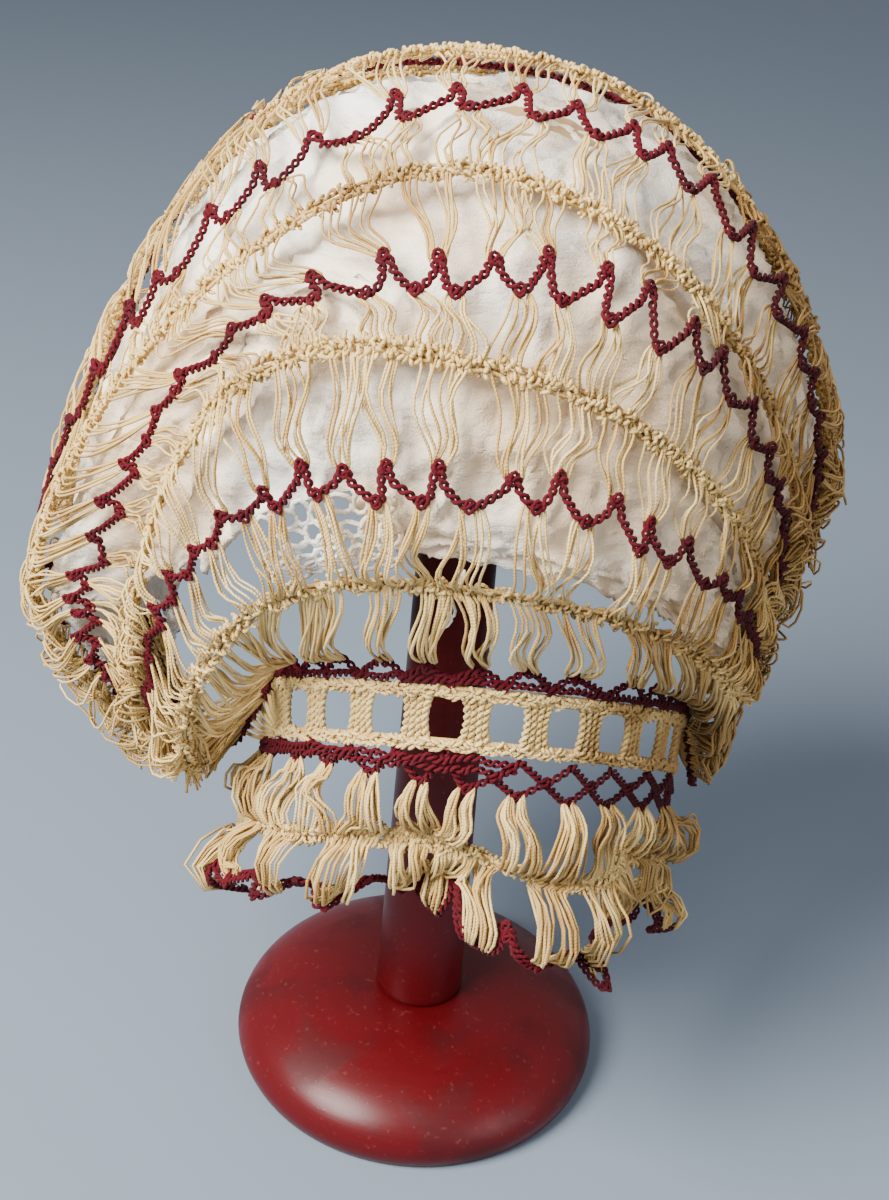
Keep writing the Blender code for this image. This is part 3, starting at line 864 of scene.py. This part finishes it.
def nape_gap(along, share):
    """Surface of the gap between the band's rim, share 0, and the first strip, share 1: straight
    lines from one to the other that bulge out by a sine, and more at the gathered ends."""
    along, share = matched(along, share)
    rim = band_rim(along, 0.0)
    place = rim + (cap(along, STRIP_ANGLES[0]) - rim) * share[..., None]
    away = unit(place * np.array([1, 1, 0]))
    bulge = (GAP_BULGE + 1.4 * EAR_FULLNESS * gathered(along)) * np.sin(pi * np.clip(share, 0, 1))
    return place + away * bulge[..., None]


ROW_STEPS[nape_gap] = 0.01


# %% Strips
def make_strip(index):
    """Spine and loops of one strip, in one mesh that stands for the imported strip."""
    angle = STRIP_ANGLES[index]
    batches = spine_batches(cap, angle, STRIP_REACH)
    above = JOIN_TURNS[index]
    batches.append(sheaf_loops(cap, angle, above["low"], above["low_angle"], CAP_LAY, 40 + index))
    if index:
        below = JOIN_TURNS[index - 1]
        batches.append(sheaf_loops(cap, angle, below["high"], below["high_angle"], CAP_LAY, 60 + index))
    else:
        batches.append(sheaf_loops(nape_gap, 1.0, GAP_PLACES, GAP_ROWS, GAP_LAY, 60))
    add_threads(f"lace_strip_{index}", batches, ECRU, f"strip_{index}")


for index in range(len(STRIP_ANGLES)):
    make_strip(index)

# %% [markdown]
# ## Openwork band at the nape
# The band is worked flat: a rail of stitches, blocks of tall treble stitches with windows between
# them, and a second rail. The rails are rows of arched stitches. A block is four twisted threads
# that stand upright and draw in at the waist.

# %% Openwork band
TREBLES = 4
TREBLE_THREAD = 0.00095
TREBLE_WINDS = 3.5
TREBLE_SIDE = 0.00075
TREBLE_OUT = 0.00060
RAIL_STITCHES_PER_METRE = 1500
RAIL_STITCH_HALF = 0.0015
RAIL_STITCH_RISE = 0.0008
BAND_LIFT = 0.0010
BAND_LENGTH = pi / 2 * (BAND_HALF_WIDTH + BAND_DEPTH)
BAND_LEFT_END = -0.70
FAN_THREADS = 10
FAN_SAG = np.array([0, 0.002, 0.0015])
FAN_FACING = np.array([0, -1.0, 0.3])


def rail_batches(height):
    """Rail of the band: three core threads and slanted arched stitches over them."""
    rows = height + np.array([-1, 0, 1])[:, None] * BEADING_RAIL * 0.30
    here, _, _, out = frame_on(nape_band, np.linspace(BAND_LEFT_END, 0.995, 90)[None], rows)
    batches = [thread_batch(here + out * BAND_LIFT, TREBLE_THREAD, out, np.full(3, 0.35))]
    count = int(BAND_LENGTH * RAIL_STITCHES_PER_METRE * (1 - BAND_LEFT_END) / 2)
    place = np.linspace(BAND_LEFT_END, 0.99, count) + jitter(0.4, count) / count
    offset = jitter(0.42, count) * BEADING_RAIL
    frame = frame_on(nape_band, place, height + offset)
    centre = frame[0] + frame[3] * (BAND_LIFT + 0.0006)
    slant = slants(0.2, 1.0, count)
    tones = lots.uniform(0.5, 1.3, count)
    return batches + [arched_stitches(centre, frame, slant, RAIL_STITCH_HALF, RAIL_STITCH_RISE, tones)]


def treble_batches():
    """Blocks between the windows: upright threads whose places close up by a sine at the waist,
    each wound round its own line by a small circle."""
    window = BEADING_WINDOW / BAND_LENGTH
    block = (1.0 - BEADING_WINDOWS * window) / (BEADING_WINDOWS + 1)
    centres = -1.0 + block + 2 * (block + window) * np.arange(BEADING_WINDOWS + 1)
    centres = centres[centres > BAND_LEFT_END]
    lanes = np.linspace(-1, 1, TREBLES)
    share = np.linspace(0, 1, 19)
    waist = 1 - 0.34 * np.sin(pi * share)
    along = centres[:, None, None] + lanes[:, None] * block * 0.86 * waist
    along = along.reshape(-1, len(share))
    rows = -BEADING_RAIL * 0.6 - (BEADING_HEIGHT - BEADING_RAIL * 1.2) * share
    here, ahead, _, out = frame_on(nape_band, along, rows)
    wind = 2 * pi * TREBLE_WINDS * share + lots.uniform(0, 2 * pi, (len(along), 1))
    batches = []
    for strand in (0, pi):
        paths = here + ahead * (TREBLE_SIDE * np.cos(wind + strand))[..., None]
        paths = paths + out * (BAND_LIFT + TREBLE_OUT * np.sin(wind + strand))[..., None]
        batches.append(thread_batch(paths, TREBLE_THREAD * 0.8, out, lots.uniform(0.3, 1.1, len(along))))
    return batches


def end_fans():
    """Threads that fan out from the band's left foot corner and from its right end to the slanted
    ends of the rim, sagging by a sine."""
    side = np.repeat([-1, 1], FAN_THREADS)
    spread = np.tile(np.linspace(0, 1, FAN_THREADS), 2)
    reach = side * (BAND_CORNER - 0.06 + 0.40 * spread)
    left_start = nape_band(BAND_LEFT_END + 0.02, -BEADING_HEIGHT * (0.80 + 0.15 * spread))
    right_start = nape_band(0.955, -BEADING_HEIGHT * np.abs(reach) * 0.75 + 0.010)
    start = np.where(side[:, None] < 0, left_start, right_start)
    end = band_rim(reach, -0.002)
    share = np.linspace(0, 1, 9)
    paths = start[:, None] + (end - start)[:, None] * share[:, None]
    paths = paths - FAN_SAG * np.sin(pi * share)[:, None]
    return thread_batch(paths, TREBLE_THREAD, FAN_FACING, lots.uniform(0.3, 1.1, len(reach)))


band_batches = rail_batches(-BEADING_RAIL / 2) + rail_batches(-BEADING_HEIGHT + BEADING_RAIL / 2)
band_batches += treble_batches() + [end_fans()]
add_threads("openwork_band", band_batches, ECRU, "beading_band")

# %% [markdown]
# ## Frill
# The frill is a shorter strip of the same lace. A net of two crossing zigzags holds it under the
# band. Its folds grow on the way down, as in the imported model, and a small extra ruffle comes from
# the drawn-up loops. The loops are caught in thick sheaves.

# %% Frill surface
SEAT_GAP = 0.0003
CHAIN_DIAMETER = 0.0026
FRILL_TOP = -BEADING_HEIGHT - SEAT_GAP - CHAIN_DIAMETER / 2 - LOWER_CHAIN_HEIGHT
FRILL_SPINE = FRILL_TOP - FRILL_LOOPS
FRILL_FOOT = FRILL_SPINE - FRILL_LOOPS
RUFFLE = 0.0075
FRILL_TURNS = 13
FRILL_REACH = 0.93
FRILL_SPINE_HALF = 0.0036
NET_RAISED = 0.008
FRILL_SHORTER = np.array([0.20, 0.20, 0.05, 0.0, 0.06, 0.12])
OUTER_LIFT = BAND_LIFT + 0.0010
RIM_LIFT = BAND_LIFT + 0.0006
EDGE_LIFT = BAND_LIFT + 0.0012
SHEAF_PUFF = 0.0065
FRILL_DRIFT = 0.003


def frill_puff(along):
    """Loops of a sheaf lie well above each other."""
    return np.full(np.shape(along), SHEAF_PUFF)


FRILL_LAY = {"per_turn": 10, "thread": 0.00054, "puff": frill_puff, "bend": 0.0034, "sag": 0.002,
             "flares": (0.9, 2.0)}


def frill(along, height):
    """Band wall moved out by a flare, folds and a quick ruffle, all in proportion to the way down. A
    table makes the frill shorter towards its ends."""
    along, height = matched(along, height)
    share = (FRILL_TOP - height) / (FRILL_TOP - FRILL_FOOT)
    fold = eased_table(along, FOLD_PLACES, FOLD_SHARES)
    ruffle = RUFFLE * slow_waves(along, height * 20, 15.0, 8)
    out = np.clip(share, 0, 1.4) * (FRILL_FLARE + FOLD_DEPTH * fold + ruffle)
    swing = along * pi / 2
    aside = np.stack([np.sin(swing), -np.cos(swing), np.zeros(swing.shape)], axis=-1)
    shorter = eased_table(along, FOLD_PLACES, FRILL_SHORTER)
    hung = height - (height + BEADING_HEIGHT) * shorter
    drop = FRILL_DRIFT * slow_waves(along, 0 * height, 6.0, 21) * np.clip(share, 0, 1.2)
    return nape_band(along, hung + drop) + aside * out[..., None]


frill_pitch = 2 * FRILL_REACH / FRILL_TURNS
FRILL_MARKS = -FRILL_REACH + frill_pitch * (np.arange(FRILL_TURNS) + 0.5)
FRILL_MARKS = FRILL_MARKS + jitter(0.2, FRILL_TURNS) * frill_pitch
FRILL_EDGE_MARKS = (FRILL_MARKS[1:] + FRILL_MARKS[:-1]) / 2
print("frill height", FRILL_TOP - FRILL_FOOT)

# %% Frill lace and its chains
lower_rest = -BEADING_HEIGHT - CHAIN_DIAMETER / 2
top_rows = FRILL_TOP + NET_RAISED * np.clip(0.25 - FRILL_MARKS, 0, 1)
edge_rows = FRILL_FOOT + lots.uniform(-0.006, 0.002, FRILL_TURNS - 1)
frill_batches = spine_batches(frill, FRILL_SPINE, FRILL_REACH, FRILL_SPINE_HALF)
frill_batches.append(sheaf_loops(frill, FRILL_SPINE, FRILL_MARKS, top_rows, FRILL_LAY, 81))
frill_batches.append(sheaf_loops(frill, FRILL_SPINE, FRILL_EDGE_MARKS, edge_rows, FRILL_LAY, 82))
add_threads("ruffled_frill", frill_batches, ECRU, "frill_strip")

right = FRILL_EDGE_MARKS > 0.05
middle_row = (FRILL_TOP + lower_rest) / 2
high_rows = np.where(right, middle_row, lower_rest)
batches = chain_with_grips(frill, FRILL_MARKS, FRILL_EDGE_MARKS, top_rows, high_rows, BAND_LIFT, 0.5)
along, rows = zigzag(FRILL_EDGE_MARKS[right], FRILL_MARKS[1:][right][:-1], middle_row, lower_rest, 0.3)
batches.append(crochet_chain(frill, along, rows, OUTER_LIFT))
along = np.linspace(-0.80, 0.12, 40)
for deep in (0.0, 0.0035):
    rows = lower_rest - deep - lots.uniform(0, 0.003, 40)
    batches.append(crochet_chain(frill, along, rows, OUTER_LIFT))
add_threads("zigzag_band_foot", batches, CRIMSON, "band_lower_chain")

rim_low = (GAP_PLACES[1:] + GAP_PLACES[:-1]) / 2
drop = CHAIN_DIAMETER / 2 - BAND_HIGH_ROW
high_rows = lots.uniform(-0.0030, 0.0005, GAP_TURNS)
batches = chain_with_grips(band_rim, GAP_PLACES, rim_low, high_rows, drop, BAND_LIFT, 0.7)
along = np.linspace(-RIM_END, RIM_END, 120)
rows = drop + lots.uniform(0, 0.0015, 120)
batches.append(crochet_chain(band_rim, along, rows, RIM_LIFT))
add_threads("zigzag_band_top", batches, CRIMSON, "band_upper_chain")

high_rows = FRILL_FOOT + lots.uniform(0.004, 0.010, FRILL_TURNS - 2)
batches = []
for deep in (0.0, 0.0026):
    batches += chain_with_grips(frill, FRILL_EDGE_MARKS, FRILL_MARKS[1:-1], edge_rows - deep,
                                high_rows - deep, EDGE_LIFT)
add_threads("zigzag_frill_edge", batches, CRIMSON, "frill_edge_chain")

# %% [markdown]
# ## White cloth
# A crumpled white cloth fills the cap and rests on the stand's top. A cloth simulation could drop
# it, but the photograph shows folds that were pushed up by hand, so a formula gives them: a shell
# inside the lace, sunk by long folds and by sharper creases. On the left its nape edge ends in a net of
# eyelets, worked in thick white thread, and a torn shred of it hangs down.

# %% White cloth
CLOTH_REACH_ANGLES = np.array([-13.0, 5.0, 30.0, 60.0])
CLOTH_REACHES = np.array([0.50, 0.62, 0.76, 0.84])
CLOTH_RIGHT_MORE = 0.12
CLOTH_EDGE_PLACES = np.array([-0.17, -0.10, 0.05])
CLOTH_EDGE_ANGLES = np.array([6.0, -11.0, -15.0])
CLOTH_NAPE_ANGLE = CLOTH_EDGE_ANGLES[-1]
CLOTH_FACE_ANGLE = 192.0
CLOTH_CLEARANCE = 0.0032
CLOTH_THICKNESS = 0.0012
CLOTH_ACROSS = 160
CLOTH_ROUND = 170
CREASE = 0.0042
FOLD = 0.0048
FINE_CREASE = 0.0016
CLOTH_WHITE = (0.94, 0.92, 0.87, 1)
# Warm colour of the stains and of the painted shade towards the right ear.
CLOTH_WARM = (0.84, 0.65, 0.42, 1)


def creases(first, second, pace, seed):
    """Sharp ridges: the highest of several seeded waves, each 1 less the size of its sine."""
    seeded = np.random.default_rng(seed)
    total = np.zeros(np.shape(first))
    for _ in range(6):
        heading = seeded.uniform(0, pi)
        speed = pace * seeded.uniform(0.5, 1.3)
        bend = slow_waves(first, second, 3.0, int(seeded.integers(1000)))
        wave = np.sin((first * np.cos(heading) + second * np.sin(heading)) * speed + 2.2 * bend
                      + seeded.uniform(0, 2 * pi))
        total = np.maximum(total, (1 - np.abs(wave)) ** 3)
    return total


def make_cloth():
    """Grid of the cap's surface moved inwards by a clearance, folds and creases. The cloth reaches
    less far towards the ears at its nape edge, and that edge is higher on the left."""
    share = np.linspace(0, 1, CLOTH_ROUND)[:, None]
    reach = eased_table(CLOTH_NAPE_ANGLE + (CLOTH_FACE_ANGLE - CLOTH_NAPE_ANGLE) * share,
                        CLOTH_REACH_ANGLES, CLOTH_REACHES)
    across = np.linspace(-1, 1, CLOTH_ACROSS)
    across = across * np.where(across > 0, reach + CLOTH_RIGHT_MORE * (1 - share) ** 4, reach)
    edge = np.interp(across, CLOTH_EDGE_PLACES, CLOTH_EDGE_ANGLES)
    angle = edge + (CLOTH_FACE_ANGLE - edge) * share
    here, _, _, out = frame_on(crown, across, angle)
    wide, tall = across * 2.2, angle / 52
    fold = 0.5 + 0.5 * slow_waves(wide, tall, 9.0, 33)
    sunk = CLOTH_CLEARANCE + FOLD * np.clip(fold, 0, 1) + CREASE * (1 - creases(wide, tall, 9.0, 34))
    sunk = sunk + FINE_CREASE * (1 - creases(wide, tall, 24.0, 35))
    points = here - out * sunk[..., None]
    corner = np.arange(points.shape[0] * points.shape[1]).reshape(points.shape[:2])
    quads = np.stack([corner[:-1, :-1], corner[:-1, 1:], corner[1:, 1:], corner[1:, :-1]], -1)
    sheet = {"points": points.reshape(-1, 3), "quads": quads.reshape(-1, 4),
             "uv": np.zeros((quads.size, 2)), "tone": np.zeros(points.size // 3)}
    return build_mesh("crumpled_cloth", [sheet])


def cloth_finish():
    """White cotton: faint warm stains, a warm painted shade towards the right ear, a soft weave and fine
    wrinkles.
    """
    finish, shader, place = start_finish("white cotton cloth")
    # Painted shade: the cloth turns warmer and darker towards the right ear, away from the window lamp.
    right = place.axis(0).between(0.0, RIGHT_SHADE_PLACE)
    warm = (place.noise(11.0, 3.0) + right * 0.15).between(0.38, 0.64)
    colour = (warm * 0.9).mix(CLOTH_WHITE, CLOTH_WARM)
    wrinkles = place.stretched((60, 60, 230), (0.5, 0.7, 0.3)).noise(1.0, 4.0)
    crumple = place.noise(95.0, 4.0)
    weave = place.noise(1800.0, 1.0)
    height = wrinkles * 0.55 + crumple * 0.35 + weave * 0.1
    connect(shader, {"Base Color": colour, "Normal": height.bump(0.9, 0.0036)},
            {"Roughness": 0.9, "Sheen Weight": 0.1, "Specular IOR Level": 0.2})
    return finish


cloth = add_piece("crumpled_cloth", make_cloth(), cloth_finish(), "white_cloth", "cloth_cover")
wall = cloth.modifiers.new("wall", 'SOLIDIFY')
wall.thickness = CLOTH_THICKNESS
wall.offset = -1
print("cloth area", sum(face.area for face in cloth.data.polygons))

# %% Eyelet edge
EYELET_RADIUS = 0.0031
EYELET_THREAD = 0.00085
EYELET_ROWS = 5
EYELET_COLUMNS = 7
EYELET_START = (-0.33, -12.0)
EYELET_STEP = (0.036, 4.2)
EYELET_DEPTH = 0.0048
SHRED_PLACE = 0.03
SHRED_THREADS = 3
SHRED_THREAD = 0.0005
SHRED_SPREAD = 0.012
SHRED_DEPTH = 0.005


def eyelet_edge():
    """Rings in staggered rows on the cloth's surface: a ring is a circle whose radius wavers with
    twice its turn. The shred is three threads that hang straight down and drift by a square."""
    row, column = np.divmod(np.arange(EYELET_ROWS * EYELET_COLUMNS), EYELET_COLUMNS)
    along = EYELET_START[0] + EYELET_STEP[0] * (column + 0.5 * (row % 2))
    along = along + jitter(0.003, len(row))
    angle = EYELET_START[1] + EYELET_STEP[1] * row + jitter(0.5, len(row))
    here, ahead, up, out = frame_on(crown, along, angle)
    turn = np.linspace(0, 2 * pi, 11)
    waver = 1 + 0.2 * np.sin(2 * turn + lots.uniform(0, 6, (len(row), 1)))
    radius = EYELET_RADIUS * waver * lots.uniform(0.8, 1.2, (len(row), 1))
    centre = here - out * EYELET_DEPTH
    paths = (centre[:, None] + (radius * np.cos(turn))[..., None] * ahead[:, None]
             + (radius * np.sin(turn))[..., None] * up[:, None])
    rings = thread_batch(paths, EYELET_THREAD, out[:, None], np.ones(len(row)))

    share = np.linspace(0, 1, 12)
    place = lots.uniform(SHRED_PLACE - SHRED_SPREAD, SHRED_PLACE + SHRED_SPREAD, SHRED_THREADS)
    start, ahead, _, out = frame_on(crown, place, CLOTH_NAPE_ANGLE + 1)
    swing = 0.003 * np.sin(2 * pi * share * 1.3 + lots.uniform(0, 1.5, (SHRED_THREADS, 1))) * share
    paths = (start - out * SHRED_DEPTH)[:, None] + ahead[:, None] * (swing - 0.006 * share ** 2)[..., None]
    length = lots.uniform(0.014, 0.026, (SHRED_THREADS, 1))
    paths = paths - UPWARD * (length * share)[..., None]
    shred = thread_batch(paths, SHRED_THREAD, out[:, None], np.ones(SHRED_THREADS))
    return [rings, shred]


add_piece("eyelet_edge", build_mesh("eyelet_edge", eyelet_edge()), cloth.data.materials[0],
          "white_cloth")

# %% [markdown]
# ## Turned stand
# The base and the post were turned on a lathe and painted. A profile spun in small steps gives
# their smooth outline. The paint is a satin red that has worn dark in patches, with fine scratches
# and specks of dust all over.

# %% Turned stand
BASE_DIAMETER = 0.145
BASE_HEIGHT = 0.030
BASE_FOOT_DIAMETER = 0.139
BASE_RIM_HEIGHT = 0.007
BASE_SEAT_DIAMETER = 0.044
POST_FOOT_DIAMETER = 0.0345
POST_NECK_DIAMETER = 0.024
POST_FOOT_BEAD = 0.003
LATHE_STEPS = 128
PAINT_RED = (0.074, 0.0020, 0.0038, 1)
PAINT_WORN = (0.029, 0.0011, 0.0022, 1)
PAINT_BRUSHED = (0.12, 0.005, 0.005, 1)
PAINT_DUST = (0.32, 0.12, 0.10, 1)


def spun(name, profile):
    """Closed turned mesh: each profile point but the poles becomes a ring, and the rings are
    joined by quads with a fan of triangles at each pole."""
    profile = np.asarray(profile)
    turn = 2 * pi * np.arange(LATHE_STEPS) / LATHE_STEPS
    ring = np.stack([np.cos(turn), np.sin(turn), np.ones(LATHE_STEPS)], axis=1)
    rings = profile[1:-1, [0, 0, 1]][:, None] * ring
    points = np.vstack([rings.reshape(-1, 3), [[0, 0, profile[0, 1]], [0, 0, profile[-1, 1]]]])
    corner = np.arange(len(rings) * LATHE_STEPS).reshape(len(rings), LATHE_STEPS)
    after = np.roll(corner, -1, axis=1)
    walls = np.stack([corner[:-1], corner[1:], after[1:], after[:-1]], -1).reshape(-1, 4)
    top = np.full(LATHE_STEPS, corner.size)
    faces = walls.tolist() + np.stack([top, corner[0], after[0]], -1).tolist()
    faces += np.stack([top + 1, after[-1], corner[-1]], -1).tolist()
    mesh = bpy.data.meshes.new(name)
    mesh.from_pydata(points.tolist(), [], faces)
    mesh.shade_smooth()
    return mesh


def base_profile():
    """A quarter oval from the flat seat out to the rim, a small rounded rim and a foot."""
    turn = np.linspace(pi / 2, 0, 28)
    seat = BASE_SEAT_DIAMETER / 2
    bow_radius = seat + (BASE_DIAMETER / 2 - seat) * np.cos(turn)
    bow_height = BASE_RIM_HEIGHT + (BASE_HEIGHT - BASE_RIM_HEIGHT) * np.sin(turn)
    bow = np.stack([bow_radius, bow_height], axis=1)
    foot = BASE_FOOT_DIAMETER / 2
    under = [[BASE_DIAMETER / 2 - 0.0006, 0.004], [foot + 0.0012, 0.0012], [foot, 0.0],
             [foot - 0.001, 0.0]]
    return np.vstack([[[0, BASE_HEIGHT], [seat * 0.98, BASE_HEIGHT]], bow[1:], under, [[0, 0]]])


def post_profile():
    """Straight taper from the neck down to the foot, with a rounded bead at the bottom."""
    foot, neck = (corner[2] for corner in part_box("stand_post"))
    swell, slim = POST_FOOT_DIAMETER / 2, POST_NECK_DIAMETER / 2
    return [[0, neck], [slim - 0.0005, neck], [slim, neck - 0.0005],
            [swell - 0.0003, foot + POST_FOOT_BEAD + 0.006], [swell, foot + POST_FOOT_BEAD],
            [swell, foot + 0.0008], [swell - 0.0006, foot], [0, foot]]


def paint_finish():
    """Satin red paint: worn patches, rings left by the lathe and specks of dust all over."""
    finish, shader, place = start_finish("red painted wood")
    patches = place.noise(38.0, 5.0).between(0.48, 0.68)
    specks = place.noise(420.0, 2.0).between(0.62, 0.75)
    brush = place.stretched((60, 60, 900)).noise(1.0, 3.0)
    colour = (patches * 0.6).mix(PAINT_RED, PAINT_WORN)
    colour = (brush * 0.20).mix(colour, PAINT_BRUSHED)
    colour = (specks * 0.10).mix(colour, PAINT_DUST)
    height = patches * 0.5 + brush * 0.3 + specks * 0.2
    rough = 0.30 + patches * 0.16 + brush * 0.08
    connect(shader, {"Base Color": colour, "Roughness": rough, "Normal": height.bump(0.25, 0.0004)},
            {"Coat Weight": 0.04, "Coat Roughness": 0.25, "Specular IOR Level": 0.22})
    return finish


PAINT = paint_finish()
for name, profile, node in (("turned_base", base_profile(), "stand_base"),
                            ("turned_post", post_profile(), "stand_post")):
    add_piece(name, spun(name, profile), PAINT, "red_painted_wood", node)


def wood_finish():
    """Bare turned wood of the hidden top: grain lines stretched along one axis."""
    finish, shader, place = start_finish("plain turned wood")
    grain = place.stretched((30, 260, 260)).noise(1.0, 4.0)
    colour = grain.mix((0.36, 0.22, 0.11, 1), (0.55, 0.38, 0.21, 1))
    connect(shader, {"Base Color": colour, "Normal": grain.bump(0.2, 0.0003)}, {"Roughness": 0.6})
    return finish


for slot in bpy.data.objects["stand_top"].material_slots:
    slot.material = wood_finish()

# %% [markdown]
# ## Floor and light
# A pale blue-grey floor and two soft lamps: a broad one high on the left, as from a window, and a
# weak one on the right that opens the shadows.

# %% Floor and light
FLOOR_HALF = 6.0


def make_floor():
    """Square sheet at the height of the stand's foot."""
    mesh = bpy.data.meshes.new("floor")
    corners = [(across * FLOOR_HALF, deep * FLOOR_HALF, 0)
               for across, deep in ((-1, -1), (1, -1), (1, 1), (-1, 1))]
    mesh.from_pydata(corners, [], [(0, 1, 2, 3)])
    floor = bpy.data.objects.new("floor", mesh)
    bpy.context.scene.collection.objects.link(floor)
    finish, shader, _ = start_finish("pale floor")
    connect(shader, {}, {"Base Color": (0.172, 0.210, 0.258, 1), "Roughness": 0.8,
                         "Specular IOR Level": 0.2})
    mesh.materials.append(finish)


def add_lamp(name, place, target, size, watts, colour):
    """Round lamp that looks at a target."""
    data = bpy.data.lights.new(name, 'AREA')
    data.shape = 'DISK'
    data.size = size
    data.energy = watts
    data.color = colour
    lamp = bpy.data.objects.new(name, data)
    bpy.context.scene.collection.objects.link(lamp)
    lamp.location = place
    aim = Vector(place) - Vector(target)
    lamp.rotation_euler = aim.to_track_quat('Z', 'Y').to_euler()


make_floor()
add_lamp("window", (-0.9, -0.7, 1.3), (0, 0, 0.25), 0.9, 96, (1.0, 0.975, 0.93))
add_lamp("fill", (1.1, -0.9, 0.7), (0, 0, 0.2), 1.0, 9, (0.95, 0.95, 1.0))
world = bpy.context.scene.world or bpy.data.worlds.new("world")
bpy.context.scene.world = world
world.use_nodes = True
sky = world.node_tree.nodes["Background"].inputs
sky["Color"].default_value = (0.79, 0.83, 0.89, 1)
sky["Strength"].default_value = 0.60
